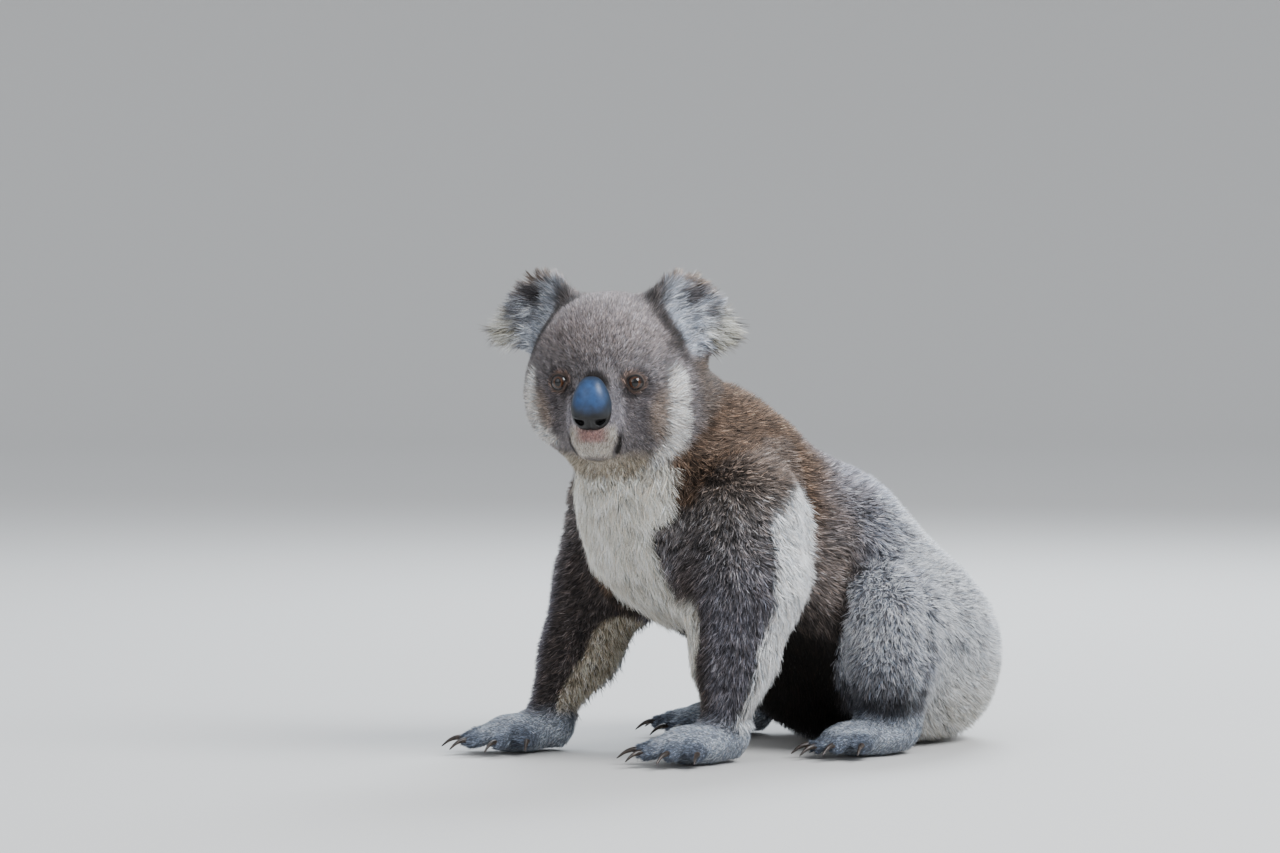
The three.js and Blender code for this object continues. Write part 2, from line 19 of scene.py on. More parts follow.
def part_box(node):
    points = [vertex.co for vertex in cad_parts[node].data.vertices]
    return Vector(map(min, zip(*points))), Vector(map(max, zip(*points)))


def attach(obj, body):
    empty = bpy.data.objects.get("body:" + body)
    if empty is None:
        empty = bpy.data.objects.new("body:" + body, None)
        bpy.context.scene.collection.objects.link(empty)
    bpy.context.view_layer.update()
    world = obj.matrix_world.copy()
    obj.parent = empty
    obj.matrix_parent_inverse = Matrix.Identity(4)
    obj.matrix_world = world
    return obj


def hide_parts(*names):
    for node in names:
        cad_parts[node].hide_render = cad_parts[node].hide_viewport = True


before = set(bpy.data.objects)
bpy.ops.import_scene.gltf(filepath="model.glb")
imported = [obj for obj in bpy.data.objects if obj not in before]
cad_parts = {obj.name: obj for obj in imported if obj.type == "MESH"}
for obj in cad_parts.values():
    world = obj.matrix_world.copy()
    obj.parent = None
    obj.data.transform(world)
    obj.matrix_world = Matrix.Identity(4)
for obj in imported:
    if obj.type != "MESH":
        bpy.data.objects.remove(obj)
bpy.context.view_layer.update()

MM = 0.001
SIDES = {"left": 1, "right": -1}

# ---- what the nodes of the frame are ----

LIMBS = [f"{part}_{side}" for part in ("arm", "forearm", "thigh", "shank") for side in SIDES]
PAWS = [f"{part}_{side}" for part in ("forepaw", "hindpaw") for side in SIDES]
EARS = [f"ear_{side}" for side in SIDES]
FLESH = ["trunk", "neck", "head", *EARS, *LIMBS, *PAWS]
CLAWS = sorted(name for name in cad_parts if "claw" in name)

# ---- the coat ----

# depth is from the skin to the outline of the fur, and length and width are a tuft's. density is in
# tufts per square centimetre of skin. lock is the spacing of the locks that neighbouring tips draw
# together into, and pull is how far they do. streak is how much the locks differ in tone, and fleck
# how much the tufts do.
MEASURES = ("depth", "length", "width", "density", "lock", "pull", "streak", "fleck")
COAT = {
    part: dict(zip(MEASURES, values))
    for part, values in {
        "trunk": (10, 11.5, 1.0, 56, 3.0, 0.24, 0.3, 0.62),
        "neck": (11, 13, 1.0, 60, 3.2, 0.26, 0.3, 0.62),
        "head": (6.5, 7.8, 0.8, 110, 2.6, 0.22, 0.16, 0.42),
        "ear": (7.5, 21, 0.75, 150, 5, 0.45, 0.5, 0.45),
        "arm": (9.5, 10.6, 1.0, 66, 3.0, 0.26, 0.3, 0.62),
        "forearm": (7.5, 8.8, 0.95, 66, 2.8, 0.26, 0.26, 0.58),
        "thigh": (10, 11.4, 1.0, 60, 3.0, 0.24, 0.3, 0.6),
        "shank": (8, 9.4, 0.95, 66, 2.8, 0.24, 0.24, 0.46),
        "forepaw": (1.8, 4.2, 0.7, 90, 2.5, 0.2, 0.2, 0.4),
        "hindpaw": (1.8, 4.2, 0.7, 90, 2.5, 0.2, 0.2, 0.4),
    }.items()
}
# Patches where the coat differs from its part's. A None leaves the part's value.
PATCHES = {
    patch: {key: value for key, value in zip(MEASURES, values) if value is not None}
    for patch, values in {
        "face": (2.8, 4.6, 0.65, 200, 2.2, 0.2, None, 0.44),
        "muzzle": (1.3, 3.2, 0.5, 240, None, None, 0.08, 0.24),
        "cheek": (8.5, 17, 0.85, 95, 5, 0.3, None, 0.24),
        "bib": (12, 25, 0.75, 76, 9, 0.3, 0.2, 0.16),
        "arm_fringe": (None, 17, None, None, None, None, 0.2, 0.2),
        "arm_rear": (12, 19, 0.95, 62, 7, 0.25, None, 0.18),
        "ear_rim": (13, 17, None, None, None, None, None, None),
        "wisp": (7, 34, 0.65, 55, 9, 0.4, None, None),
        "under": (None, None, None, 30, None, None, None, None),
    }.items()
}
EAR_HAIR_ROOM = (9, 24)  # least and most length of the hair in the ears, which ends at their rims
WISP_ROOM = 16  # what the longest hairs at the ears' low corners add to that
TRUNK_LIE = (0, 0.75, -0.66)
LIE_TO = {"arm": "forearm", "forearm": "forepaw", "thigh": "shank", "shank": "hindpaw"}

# ---- the head, in its own frame: +X its left, -Y forwards, +Z up ----

HEAD_PITCH = math.radians(2)
EYE_IN_HEAD = np.array([33, -61.5, -6])
BETWEEN_EYES = EYE_IN_HEAD * [0, 1, 1]
EYE_RADIUS = 9.0
CORNEA_BULGE = 0.7
IRIS = 6.0  # radius
IRIS_STOPS = ((0.2, "#2b170b"), (0.36, "#47290f"), (0.47, "#331b0b"), (0.56, "#120906"), (0.66, "#120b09"))
GAZE = np.array([0.2, -0.98, 0.03])
LIDS_FACE = np.array([0.34, -0.94, 0.03])
OPENING = (5.8, 6.1)  # half width and half height between the lids
EYE_CORNERS = ((205, 1.3), (8, 0.5))  # the angle of each corner of the eye, and how far it draws out
EYE_REACH = 26  # how far from the middle of the eyeball its lids can matter
OUTSIDE_EYE = 9  # what a point beyond that counts as, where 1 is the rim of the lids
NOSE_IN_HEAD = np.array([0, -97, -23])
NOSE_RADII = np.array([18.2, 15, 24])
NOSE_SQUARE = 2.7  # the power of its rounded outline, where 2 is an ellipse
NOSE_NARROWING = 0.28  # towards its top
NOSTRIL = (9.5, -15)  # from the middle of the nose, sideways and up
MOUTH_LINE = [(22, 0, -51), (21.5, 0, -58), (19, 0, -66)]  # its left corner, seen from the front
MOUTH_IN_HEAD = np.array([0, -78, -60])
EAR_FACING = np.array([0.42, -0.88, 0.12])
EAR_IN_HEAD = np.array([63, 20, 54])
EAR_REACH = 42  # from the middle of the ear to the tips of its rim
EAR_FAN = (-30, 4)  # where the hair of the ear fans out from, across and up from the ear's middle
EAR_ROOT = [(40, -4, 68), (53, -12, 46), (62, -14, 26)]  # line down the front of the left ear's root

# ---- folds, creases and the hind legs, for the left side and mirrored to the right ----

KNEE_FOLD = [(96, 36, 40), (105, 25, 98), (110, 20, 135), (110, 36, 180), (113, 70, 193)]
THIGH_EDGE = [(118, 92, 190), (141, 86, 166), (158, 82, 136), (160, 83, 100), (152, 84, 50), (141, 84, 20)]
LEG_BALLS = (((74, 141, 108), 69), ((106, 83, 122), 50), ((114, 73, 78), 41), ((112, 81, 34), 34))
CREASE_SPACING = 14
FOLD_DEPTH = 9
FURROW_DEPTH = 2.4  # between neighbouring digits
MOUTH_DEPTH = 3.5
NOSE_HOLLOW = 11  # behind the nose, so that its nostrils don't meet the skin

# ---- colours ----


def linear(hex_colour):
    """An sRGB hex value as linear red, green and blue."""
    srgb = np.array([int(hex_colour[i : i + 2], 16) / 255 for i in (1, 3, 5)])
    return np.where(srgb <= 0.04045, srgb / 12.92, ((srgb + 0.055) / 1.055) ** 2.4)


PALETTE = {
    name: linear(value)
    for name, value in {
        "shoulder": "#675446",
        # grey-brown of the back of the head and neck, partly painted shade behind the cheeks' fringe
        "nape": "#675c55",
        "back": "#a3a5b0",
        "rump": "#f4f7ff",
        "seat": "#f4efe4",
        "flank": "#7d726d",
        # painted shade: the brownish fur low on the flanks and under the trunk, drawn near black as if in
        # shadow
        "painted_belly_shade": "#120c08",
        "bib": "#f9f3e6",
        "throat": "#b9ac9a",
        "arm": "#8a8380",
        "arm_front": "#7b7880",
        "arm_shaded": "#4f4745",
        "arm_rear": "#fbfbfc",
        "arm_inner": "#f0dfc4",
        "leg": "#f0f3ff",
        # painted shade low on the hind legs, towards the ground
        "leg_low_shade": "#424247",
        # pale blotches on the rump, and painted light along the ridge at the thigh's edge
        "pale_patch_and_lit_ridge": "#f0f4fb",
        "paw": "#cdd7e8",
        "digit": "#7c8596",
        "brow": "#918786",
        "face": "#7d7778",
        "cheek": "#6a6466",
        "cheek_tan": "#b09c8b",
        "cheek_edge": "#dcd8d4",
        "muzzle": "#b4aeb4",
        # dark marks by the nose and round the eyes, and painted shadow in the corners of the mouth
        "dark": "#26211f",
        "chin": "#ece1d4",
        "lip": "#bf9892",
        # the blue of the sky, painted as its reflection over the top of the nose's dark leather, whose own
        # colour shows lower down; the next colour is painted shade on the nose's flanks
        "nose": "#254570",
        "nose_flank_shade": "#18283a",
        "nose_low": "#080707",
        "lid": "#9c8174",
        "ear_back": "#857c7a",
        "ear_hair": "#b0b5bf",
        "ear_base": "#34302f",
        "ear_rim": "#8f7d6e",
        "ear_pit": "#3b3433",
        "wisp": "#dedacb",
    }.items()
}
UNDERFUR_AND_SHADE = 0.24  # how light the skin and its underfur are, as a share of the coat's tips; darker than the underfur alone, as painted shade between the tufts

# ---- numbers over points ----


def unit(v):
    return v / np.maximum(np.linalg.norm(v, axis=-1, keepdims=True), 1e-9)


def ramp(x, start, end):
    """0 before start, 1 after end, and smooth between them; start may be above end."""
    t = np.clip((x - start) / (end - start), 0, 1)
    return t * t * (3 - 2 * t)


def hump(x, at, width):
    """1 where x is at that value, and falling away smoothly on both sides."""
    return np.exp(-(((x - at) / width) ** 2))


def spot(p, centre, radii):
    """1 at the centre of an ellipsoid, and 0 from its surface outwards."""
    return ramp(np.linalg.norm((p - centre) / radii, axis=-1), 1, 0)


def over(below, above, share):
    share = np.asarray(share)[..., None]
    return below * (1 - share) + above * share


def layered(colour, *layers):
    """Colours of the palette laid over a colour in turn, each by its share at every point."""
    for name, share in layers:
        colour = over(colour, PALETTE[name], share)
    return colour


def waves(p, size, seed, count=7):
    """Smooth noise from -1 to 1, whose bumps are about size mm apart."""
    rng = np.random.default_rng(seed)
    total = np.zeros(len(p))
    for _ in range(count):
        direction = unit(rng.normal(size=3)) * rng.uniform(0.7, 1.5)
        total += np.sin(p @ direction * (2 * math.pi / size) + rng.uniform(0, 2 * math.pi))
    return np.clip(total / math.sqrt(count), -1.6, 1.6) / 1.6


def mirrored(points):
    """The points of both sides, brought to the left side."""
    return np.abs(points) * [1, 0, 0] + points * [0, 1, 1]


def length_of(vectors):
    return np.linalg.norm(vectors, axis=1)


def stretch_distance(points, a, b):
    """Distance to a straight stretch from a to b."""
    reach = b - a
    along = np.clip((points - a) @ reach / (reach @ reach), 0, 1)[:, None]
    return length_of(points - a - reach * along)


def line_distance(points, line):
    """Distance to a line of straight stretches, given for the left side, on both sides."""
    p = mirrored(points)
    line = np.array(line, float)
    return np.min([stretch_distance(p, a, b) for a, b in zip(line, line[1:])], axis=0)


# ---- frames of the head and the ears ----


def middle(node):
    low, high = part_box(node)
    return np.array((low + high) / 2) / MM


def claws_of(paw):
    """The middles of the claws of one paw."""
    kind, side = paw.split("_")
    return [middle(name) for name in CLAWS if name.startswith(f"{kind}_claw_{side}")]


def head_frame():
    x = unit(middle("eye_left") - middle("eye_right"))
    up = np.array([0, 0, 1.0])
    back = unit(np.cross(up, x))
    y = math.cos(HEAD_PITCH) * back + math.sin(HEAD_PITCH) * up
    turn = np.stack([x, y, np.cross(x, y)], 1)
    return turn, (middle("eye_left") + middle("eye_right")) / 2 - turn @ BETWEEN_EYES


HEAD_TURN, HEAD_AT = head_frame()


def to_head(p):
    return (p - HEAD_AT) @ HEAD_TURN


def from_head(p):
    return p @ HEAD_TURN.T + HEAD_AT


def ear_turn(side):
    """Axes of an ear in the head's frame: outwards, up, and the way the ear faces."""
    z = unit(EAR_FACING * [side, 1, 1])
    x = unit(np.array([-z[1], z[0], 0]) * side)
    return np.stack([x, np.cross(z, x) * side, z], 1)


def in_ear(h, side):
    return (h - EAR_IN_HEAD * [side, 1, 1]) @ ear_turn(side)


def eye_offset(h, side):
    return h - EYE_IN_HEAD * [side, 1, 1]


# ---- meshes by hand ----


def take(ob):
    """Makes one object the selected and the active one."""
    if bpy.context.object and bpy.context.object.mode != "OBJECT":
        bpy.ops.object.mode_set(mode="OBJECT")
    bpy.ops.object.select_all(action="DESELECT")
    ob.select_set(True)
    bpy.context.view_layer.objects.active = ob


def copy_of(node):
    """A copy of a node's mesh as an object of its own, with its loose triangles merged."""
    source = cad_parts[node]
    ob = bpy.data.objects.new(f"{node}_copy", source.data.copy())
    bpy.context.scene.collection.objects.link(ob)
    ob.data.materials.clear()
    take(ob)
    bpy.ops.object.mode_set(mode="EDIT")
    bpy.ops.mesh.select_all(action="SELECT")
    bpy.ops.mesh.remove_doubles(threshold=0.01 * MM)
    bpy.ops.object.mode_set(mode="OBJECT")
    return ob


def modify(ob, kind, **settings):
    take(ob)
    modifier = ob.modifiers.new(kind, kind)
    for key, value in settings.items():
        setattr(modifier, key, value)
    bpy.ops.object.modifier_apply(modifier=modifier.name)


def read(collection, attribute, kind, width=1):
    """One attribute of every item of a mesh's collection, in rows of that width."""
    flat = np.empty(len(collection) * width, kind)
    collection.foreach_get(attribute, flat)
    return flat if width == 1 else flat.reshape(-1, width)


def points_of(mesh):
    return read(mesh.vertices, "co", np.float32, 3).astype(float) / MM


def set_points(mesh, points):
    mesh.vertices.foreach_set("co", (points * MM).astype(np.float32).ravel())
    mesh.update()


def normals_of(mesh):
    return read(mesh.vertex_normals, "vector", np.float32, 3).astype(float)


def paint(ob, layer, colour):
    """Puts a colour on each vertex."""
    full = np.ones((len(colour), 4), np.float32)
    full[:, :3] = np.clip(colour, 0, 1)
    attribute = ob.data.color_attributes.new(layer, "FLOAT_COLOR", "POINT")
    attribute.data.foreach_set("color", full.ravel())


class Links:
    """The edges of a mesh, for averages over each vertex's neighbours."""

    def __init__(self, mesh):
        ends = read(mesh.edges, "vertices", np.int32, 2)
        self.a, self.b = ends.T
        self.count = len(mesh.vertices)
        self.valence = np.bincount(ends.ravel(), minlength=self.count).clip(1)[:, None]

    def average(self, values):
        total = np.empty_like(values)
        for i in range(values.shape[1]):
            total[:, i] = np.bincount(self.a, values[self.b, i], self.count)
            total[:, i] += np.bincount(self.b, values[self.a, i], self.count)
        return total / self.valence

    def smooth(self, values, times, share=0.5):
        for _ in range(times):
            values = values + (self.average(values) - values) * share
        return values


# ---- materials ----


def material(name):
    made = bpy.data.materials.new(name)
    made.use_nodes = True
    made.node_tree.nodes.clear()
    return made, made.node_tree


def node(tree, kind, links=(), values=(), **properties):
    """Adds a node. links gives inputs their sources, and values gives inputs their numbers."""
    made = tree.nodes.new(kind)
    for key, value in properties.items():
        setattr(made, key, value)
    for key, value in dict(values).items():
        made.inputs[key].default_value = value
    for key, source in dict(links).items():
        tree.links.new(source, made.inputs[key])
    return made


def rgba(hex_colour):
    return (*linear(hex_colour), 1)


def add_surface(tree, links, values, relief=None):
    """Ends a material. Its relief is a height with a strength and a distance in mm."""
    if relief:
        height, strength, distance = relief
        depth = {"Strength": strength, "Distance": distance * MM}
        bump = node(tree, "ShaderNodeBump", {"Height": height}, depth)
        links = {**links, "Normal": bump.outputs["Normal"]}
    surface = node(tree, "ShaderNodeBsdfPrincipled", links, values)
    node(tree, "ShaderNodeOutputMaterial", {"Surface": surface.outputs["BSDF"]})


def cloudy(tree, attribute, place, size, detail, tones):
    """A colour that the mesh carries, made darker and lighter by a noise with features of that size."""
    colour = node(tree, "ShaderNodeAttribute", attribute_name=attribute)
    values = {"Scale": 1 / (size * MM), "Detail": detail}
    cloud = node(tree, "ShaderNodeTexNoise", {"Vector": place.outputs["Object"]}, values)
    span = {"From Min": 0.3, "From Max": 0.7, "To Min": tones[0], "To Max": tones[1]}
    share = node(tree, "ShaderNodeMapRange", {"Value": cloud.outputs["Fac"]}, span)
    links = {0: colour.outputs["Color"], "Scale": share.outputs["Result"]}
    return node(tree, "ShaderNodeVectorMath", links, operation="SCALE")


def fur_material():
    """Fur: fine keratin fibres, dull, and a little soft at grazing angles. Each tuft carries its own
    colour, and streaks across it stand for its single hairs, drawn coarser than they are."""
    made, tree = material("koala_fur")
    place = node(tree, "ShaderNodeTexCoord")
    colour = cloudy(tree, "Coat", place, 1.1, 2.0, (0.78, 1.18))
    values = {"Roughness": 0.62, "Specular IOR Level": 0.2, "Sheen Weight": 0.04, "Sheen Roughness": 0.4}
    add_surface(tree, {"Base Color": colour.outputs["Vector"]}, values)
    return made


def skin_material():
    """Skin with its close underfur: dull, finely rough, and dark between the tufts, partly its own tone and
    partly painted shade.
    """
    made, tree = material("koala_skin")
    colour = node(tree, "ShaderNodeAttribute", attribute_name="Coat")
    place = node(tree, "ShaderNodeTexCoord")
    values = {"Scale": 1 / (1.4 * MM), "Detail": 4.0}
    grain = node(tree, "ShaderNodeTexNoise", {"Vector": place.outputs["Object"]}, values)
    relief = (grain.outputs["Fac"], 0.6, 0.6)
    add_surface(tree, {"Base Color": colour.outputs["Color"]}, {"Roughness": 0.75}, relief)
    return made


def colour_ramp(ramp_node, stops):
    elements = ramp_node.color_ramp.elements
    while len(elements) < len(stops):
        elements.new(1.0)
    for element, (position, value) in zip(elements, stops):
        element.position = position
        element.color = rgba(value)


def eye_material():
    """An eyeball: a dark upright pupil in a brown iris under a wet, clear cornea, whose lights are
    small and sharp."""
    made, tree = material("wet_eye")
    place = node(tree, "ShaderNodeUVMap", uv_map="Iris")
    links = {0: place.outputs["UV"]}
    centred = node(tree, "ShaderNodeVectorMath", links, {1: (0.5, 0.5, 0)}, operation="SUBTRACT")
    links = {0: centred.outputs["Vector"]}
    radius = node(tree, "ShaderNodeVectorMath", links, operation="LENGTH")
    slit = node(tree, "ShaderNodeVectorMath", links, {1: (1.3, 1.0, 1)}, operation="MULTIPLY")
    pupil = node(tree, "ShaderNodeVectorMath", {0: slit.outputs["Vector"]}, operation="LENGTH")
    around = node(tree, "ShaderNodeVectorMath", links, operation="NORMALIZE")
    links = {"Vector": around.outputs["Vector"]}
    streaks = node(tree, "ShaderNodeTexNoise", links, {"Scale": 9.0, "Detail": 3.0})
    links = {0: streaks.outputs["Fac"], 2: radius.outputs["Value"]}
    jitter = node(tree, "ShaderNodeMath", links, {1: 0.12}, operation="MULTIPLY_ADD")
    iris = node(tree, "ShaderNodeValToRGB", {"Fac": jitter.outputs["Value"]})
    colour_ramp(iris, IRIS_STOPS)
    span = {"From Min": 0.3, "From Max": 0.34}
    edge = node(tree, "ShaderNodeMapRange", {"Value": pupil.outputs["Value"]}, span)
    links = {"Factor": edge.outputs["Result"], 7: iris.outputs["Color"]}
    mixed = node(tree, "ShaderNodeMix", links, {6: rgba("#020202")}, data_type="RGBA")
    wet = {"Roughness": 0.5, "Specular IOR Level": 0.0, "Coat Weight": 1.0, "Coat Roughness": 0.03}
    add_surface(tree, {"Base Color": mixed.outputs[2]}, wet)
    return made


def nose_material():
    """Bare leathery skin of the nose, cloudy in tone, finely pebbled and a little moist, which gives
    it a broad soft gloss. Its colour holds a painted reflection of the blue sky over its top, and
    painted shade on its flanks."""
    made, tree = material("leathery_nose")
    place = node(tree, "ShaderNodeTexCoord")
    colour = cloudy(tree, "Pad", place, 5, 4.0, (0.7, 1.25))
    links = {"Vector": place.outputs["Object"]}
    pebbles = node(tree, "ShaderNodeTexVoronoi", links, {"Scale": 1 / (0.9 * MM)})
    relief = (pebbles.outputs["Distance"], 0.5, 0.12)
    add_surface(tree, {"Base Color": colour.outputs["Vector"]}, {"Roughness": 0.42}, relief)
    return made


def claw_material():
    """Horn of the claws: dark keratin with a cloudy grain, and a dull polish from use."""
    made, tree = material("claw_horn")
    place = node(tree, "ShaderNodeTexCoord")
    values = {"Scale": 1 / (3 * MM), "Detail": 4.0}
    cloud = node(tree, "ShaderNodeTexNoise", {"Vector": place.outputs["Object"]}, values)
    colour = node(tree, "ShaderNodeValToRGB", {"Fac": cloud.outputs["Fac"]})
    colour_ramp(colour, ((0.3, "#1c1714"), (0.55, "#332a25"), (0.75, "#5c4e44")))
    relief = (cloud.outputs["Fac"], 0.3, 0.3)
    add_surface(tree, {"Base Color": colour.outputs["Color"]}, {"Roughness": 0.38}, relief)
    return made


# ---- camera ----

PICTURE = (1280, 853)
AIM = Vector((0, 0.048, 0.2))  # a point in the middle of the animal, in metres
AIM_PIXEL = (790, 532)  # where it shows, from the top left corner of the picture
CAMERA = {"azimuth": 53, "elevation": 3, "distance": 4.0, "lens": 120, "sensor": 36}


def make_camera():
    a, e = math.radians(CAMERA["azimuth"]), math.radians(CAMERA["elevation"])
    back = Vector((math.sin(a) * math.cos(e), -math.cos(a) * math.cos(e), math.sin(e)))
    right = Vector((math.cos(a), math.sin(a), 0))
    up = back.cross(right)
    pixel = CAMERA["sensor"] * CAMERA["distance"] / CAMERA["lens"] / PICTURE[0]
    off = (AIM_PIXEL[0] - PICTURE[0] / 2, AIM_PIXEL[1] - PICTURE[1] / 2)
    place = AIM + back * CAMERA["distance"]
    target = AIM - right * off[0] * pixel + up * off[1] * pixel
    bpy.ops.object.camera_add(location=place, rotation=(target - place).to_track_quat("-Z", "Y").to_euler())
    camera = bpy.context.object
    camera.name = "camera"
    camera.data.lens = CAMERA["lens"]
    camera.data.sensor_width = CAMERA["sensor"]
    bpy.context.scene.camera = camera


# ---- eyes, nose and claws ----

CORNEA_ANGLE = 30  # degrees from the gaze at which the cornea's bulge has faded
NOSTRIL_DEPTH = 6.5
WING_HEIGHT = 0.9  # of the raised edge over each nostril


def place_in_head(ob, turn, centre):
    """Moves a piece modelled about the origin to its place in the head, and smooths its shading."""
    set_points(ob.data, from_head(points_of(ob.data) @ turn.T + centre))
    take(ob)
    bpy.ops.object.shade_smooth()


def gaze_frame(side):
    """Axes in the head's frame: outwards from the nose, up, and along the gaze."""
    gaze = unit(GAZE * [side, 1, 1])
    across = unit(np.cross([0, 0, 1], gaze))
    return np.stack([across, np.cross(gaze, across), gaze], 1)


def make_eye(name, side):
    """An eyeball with the bulge of its cornea, and a layer that spreads the iris over its front."""
    bpy.ops.mesh.primitive_uv_sphere_add(segments=48, ring_count=40, radius=EYE_RADIUS * MM)
    ob = bpy.context.object
    ob.name = ob.data.name = f"eyeball_{name}"
    points = points_of(ob.data)
    away = np.degrees(np.arccos(np.clip(points[:, 2] / EYE_RADIUS, -1, 1)))
    points *= (1 + CORNEA_BULGE / EYE_RADIUS * np.exp(-((away / CORNEA_ANGLE) ** 3)))[:, None]
    front = points[:, :2] / IRIS / 2 + 0.5
    set_points(ob.data, points)
    layer = ob.data.uv_layers[0]
    layer.name = "Iris"
    corners = read(ob.data.loops, "vertex_index", np.int32)
    layer.data.foreach_set("uv", front[corners].astype(np.float32).ravel())
    place_in_head(ob, gaze_frame(side), EYE_IN_HEAD * [side, 1, 1])
    return ob


def nose_outline(x, z):
    """How far a point lies from the middle of the nose, in radii: 1 along its rounded outline."""
    return (np.abs(x) ** NOSE_SQUARE + np.abs(z) ** NOSE_SQUARE) ** (1 / NOSE_SQUARE)


def nose_width(z):
    """How wide the nose is at a height in radii, as a share of its width low down."""
    return 1 - NOSE_NARROWING * ramp(z, -0.2, 1)


def make_nose():
    """The bare pad of the nose: a rounded block with a dip across it, a groove down its lower middle,
    and two curled nostrils."""
    bpy.ops.mesh.primitive_uv_sphere_add(segments=96, ring_count=72, radius=MM)
    ob = bpy.context.object
    ob.name = ob.data.name = "nose_pad"
    p = points_of(ob.data)
    flat = np.hypot(p[:, 0], p[:, 2])
    spread = np.where(flat > 0, flat / np.maximum(nose_outline(p[:, 0], p[:, 2]), 1e-9), 1)
    p = p * NOSE_RADII * np.stack([spread * nose_width(p[:, 2]), np.ones(len(p)), spread], 1)
    p[:, 1] += 1.6 * hump(p[:, 2], -9, 5) * ramp(np.abs(p[:, 0]), 15, 4) * (p[:, 1] < 0)
    p[:, 1] += 1.4 * hump(p[:, 0], 0, 1.3) * ramp(p[:, 2], -11, -17) * (p[:, 1] < 0)
    front = ramp(p[:, 1], -2, -8)
    for side in SIDES.values():
        u, v = p[:, 0] * side - NOSTRIL[0], p[:, 2] - NOSTRIL[1]
        bent = v - 0.07 * (u + 2) ** 2 + 1.5
        hole = np.hypot(u / 5.2, bent / (2.6 - 0.2 * u))
        wing = hump(hole, 1.5, 0.45) * ramp(v, -4, 3)
        p[:, 1] += (NOSTRIL_DEPTH * ramp(hole, 1.1, 0.35) - WING_HEIGHT * wing) * front
    # painted shade on the nose's flanks; low down the nose's own dark leather, and above it the painted
    # reflection of the blue sky
    flank = ramp(np.hypot(p[:, 0] / NOSE_RADII[0], (p[:, 2] - 3) / NOSE_RADII[2]), 0.55, 0.95)
    low = ramp(p[:, 2] + 2 * waves(p, 14, 61), 4, -12)
    paint(ob, "Pad", layered(PALETTE["nose"], ("nose_flank_shade", flank), ("nose_low", low)))
    set_points(ob.data, p)
    place_in_head(ob, np.eye(3), NOSE_IN_HEAD)
    return ob


def make_claw(node):
    ob = copy_of(node)
    ob.name = ob.data.name = node.replace("claw_", "nail_")
    modify(ob, "SUBSURF", levels=2, render_levels=2)
    bpy.ops.object.shade_smooth()
    return ob


# ---- which part each point of the skin belongs to ----


def nearest_nodes(points):
    """For each point, the index in FLESH of the node whose surface is nearest."""
    places, faces, owners = [], [], []
    for index, name in enumerate(FLESH):
        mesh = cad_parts[name].data
        start = sum(map(len, places))
        places.append(points_of(mesh))
        for polygon in mesh.polygons:
            faces.append([start + v for v in polygon.vertices])
            owners.append(index)
    tree = BVHTree.FromPolygons(np.concatenate(places).tolist(), faces)
    return np.array([owners[tree.find_nearest(p)[2]] for p in points.tolist()])


def part_of(name):
    return name.split("_")[0]


class Regions:
    """How much each vertex belongs to each node, from 0 to 1."""

    def __init__(self, points, links, spread):
        share = np.zeros((len(points), len(FLESH)))
        share[np.arange(len(points)), nearest_nodes(points)] = 1
        self.share = links.smooth(share, spread)

    def of(self, *parts):
        columns = [i for i, name in enumerate(FLESH) if name in parts or part_of(name) in parts]
        return self.share[:, columns].sum(1)

    def mix(self, key):
        return self.share @ np.array([COAT[part_of(name)][key] for name in FLESH])


# ---- features of the face ----


def face_share(h, regions):
    """1 on the short fur of the face, 0 on the cheeks' edges and the back of the head."""
    x, y, z = np.abs(h[:, 0]), h[:, 1], h[:, 2]
    return regions.of("head") * ramp(y, -22, -50) * ramp(x, 66, 46) * ramp(z, 66, 40)


def eye_opening(h, side):
    """How far a point lies from the middle of the eye's opening, where 1 is the rim of the lids, and
    its distance from the middle of the eyeball and its angle about the gaze."""
    gaze = unit(LIDS_FACE * [side, 1, 1])
    outward = unit(np.cross(gaze, [0, 0, 1]) * -side)
    upward = np.cross(outward, gaze) * side
    d = eye_offset(h, side)
    radius = length_of(d)
    near = (d @ gaze > 0) & (radius < EYE_REACH)
    scale = EYE_RADIUS / radius
    scale += (1 - scale) * ramp(radius, 11, 15)
    u, v = d @ outward * scale, d @ upward * scale
    angle = np.arctan2(v, u)
    corner = sum(
        np.clip(np.cos(angle - math.radians(at)), 0, 1) ** 8 * drawn for at, drawn in EYE_CORNERS
    )
    rim = 1 / np.hypot(np.cos(angle) / OPENING[0], np.sin(angle) / OPENING[1]) + corner
    return np.where(near, np.hypot(u, v) / rim, OUTSIDE_EYE), radius, angle


def mouth_corner(h):
    """1 in the creases at the corners of the mouth, between the upper lips and the chin."""
    near = line_distance(h * [1, 0, 1], MOUTH_LINE)
    return ramp(near, 2.3, 0.7) * ramp(h[:, 1], -58, -68)


def chin(h):
    """1 on the pale lips and chin, a block that narrows downwards."""
    x, y, z = h.T
    half = 20.5 - 5 * ramp(z, -48, -70)
    return ramp(np.abs(x) - half, 1.5, -1.5) * ramp(z, -73, -67) * ramp(z, -38, -46) * ramp(y, -58, -70)


def nose_rim(h):
    """How far a point lies from the middle of the nose, seen from the front: 1 at the nose's edge."""
    x, z = h[:, 0] / NOSE_RADII[0], (h[:, 2] - NOSE_IN_HEAD[2]) / NOSE_RADII[2]
    return nose_outline(x / nose_width(z), z)


def cheek_band(h):
    """The pale fringe that stands out round the cheeks, from below the ears to the throat."""
    x, y, z = np.abs(h[:, 0]), h[:, 1], h[:, 2]
    front = -50 + 6 * ramp(z, -30, -62)
    return ramp(y, front - 1, front + 8) * ramp(y, front + 27, front + 17) * ramp(x, 30, 46) * ramp(z, 16, -8)


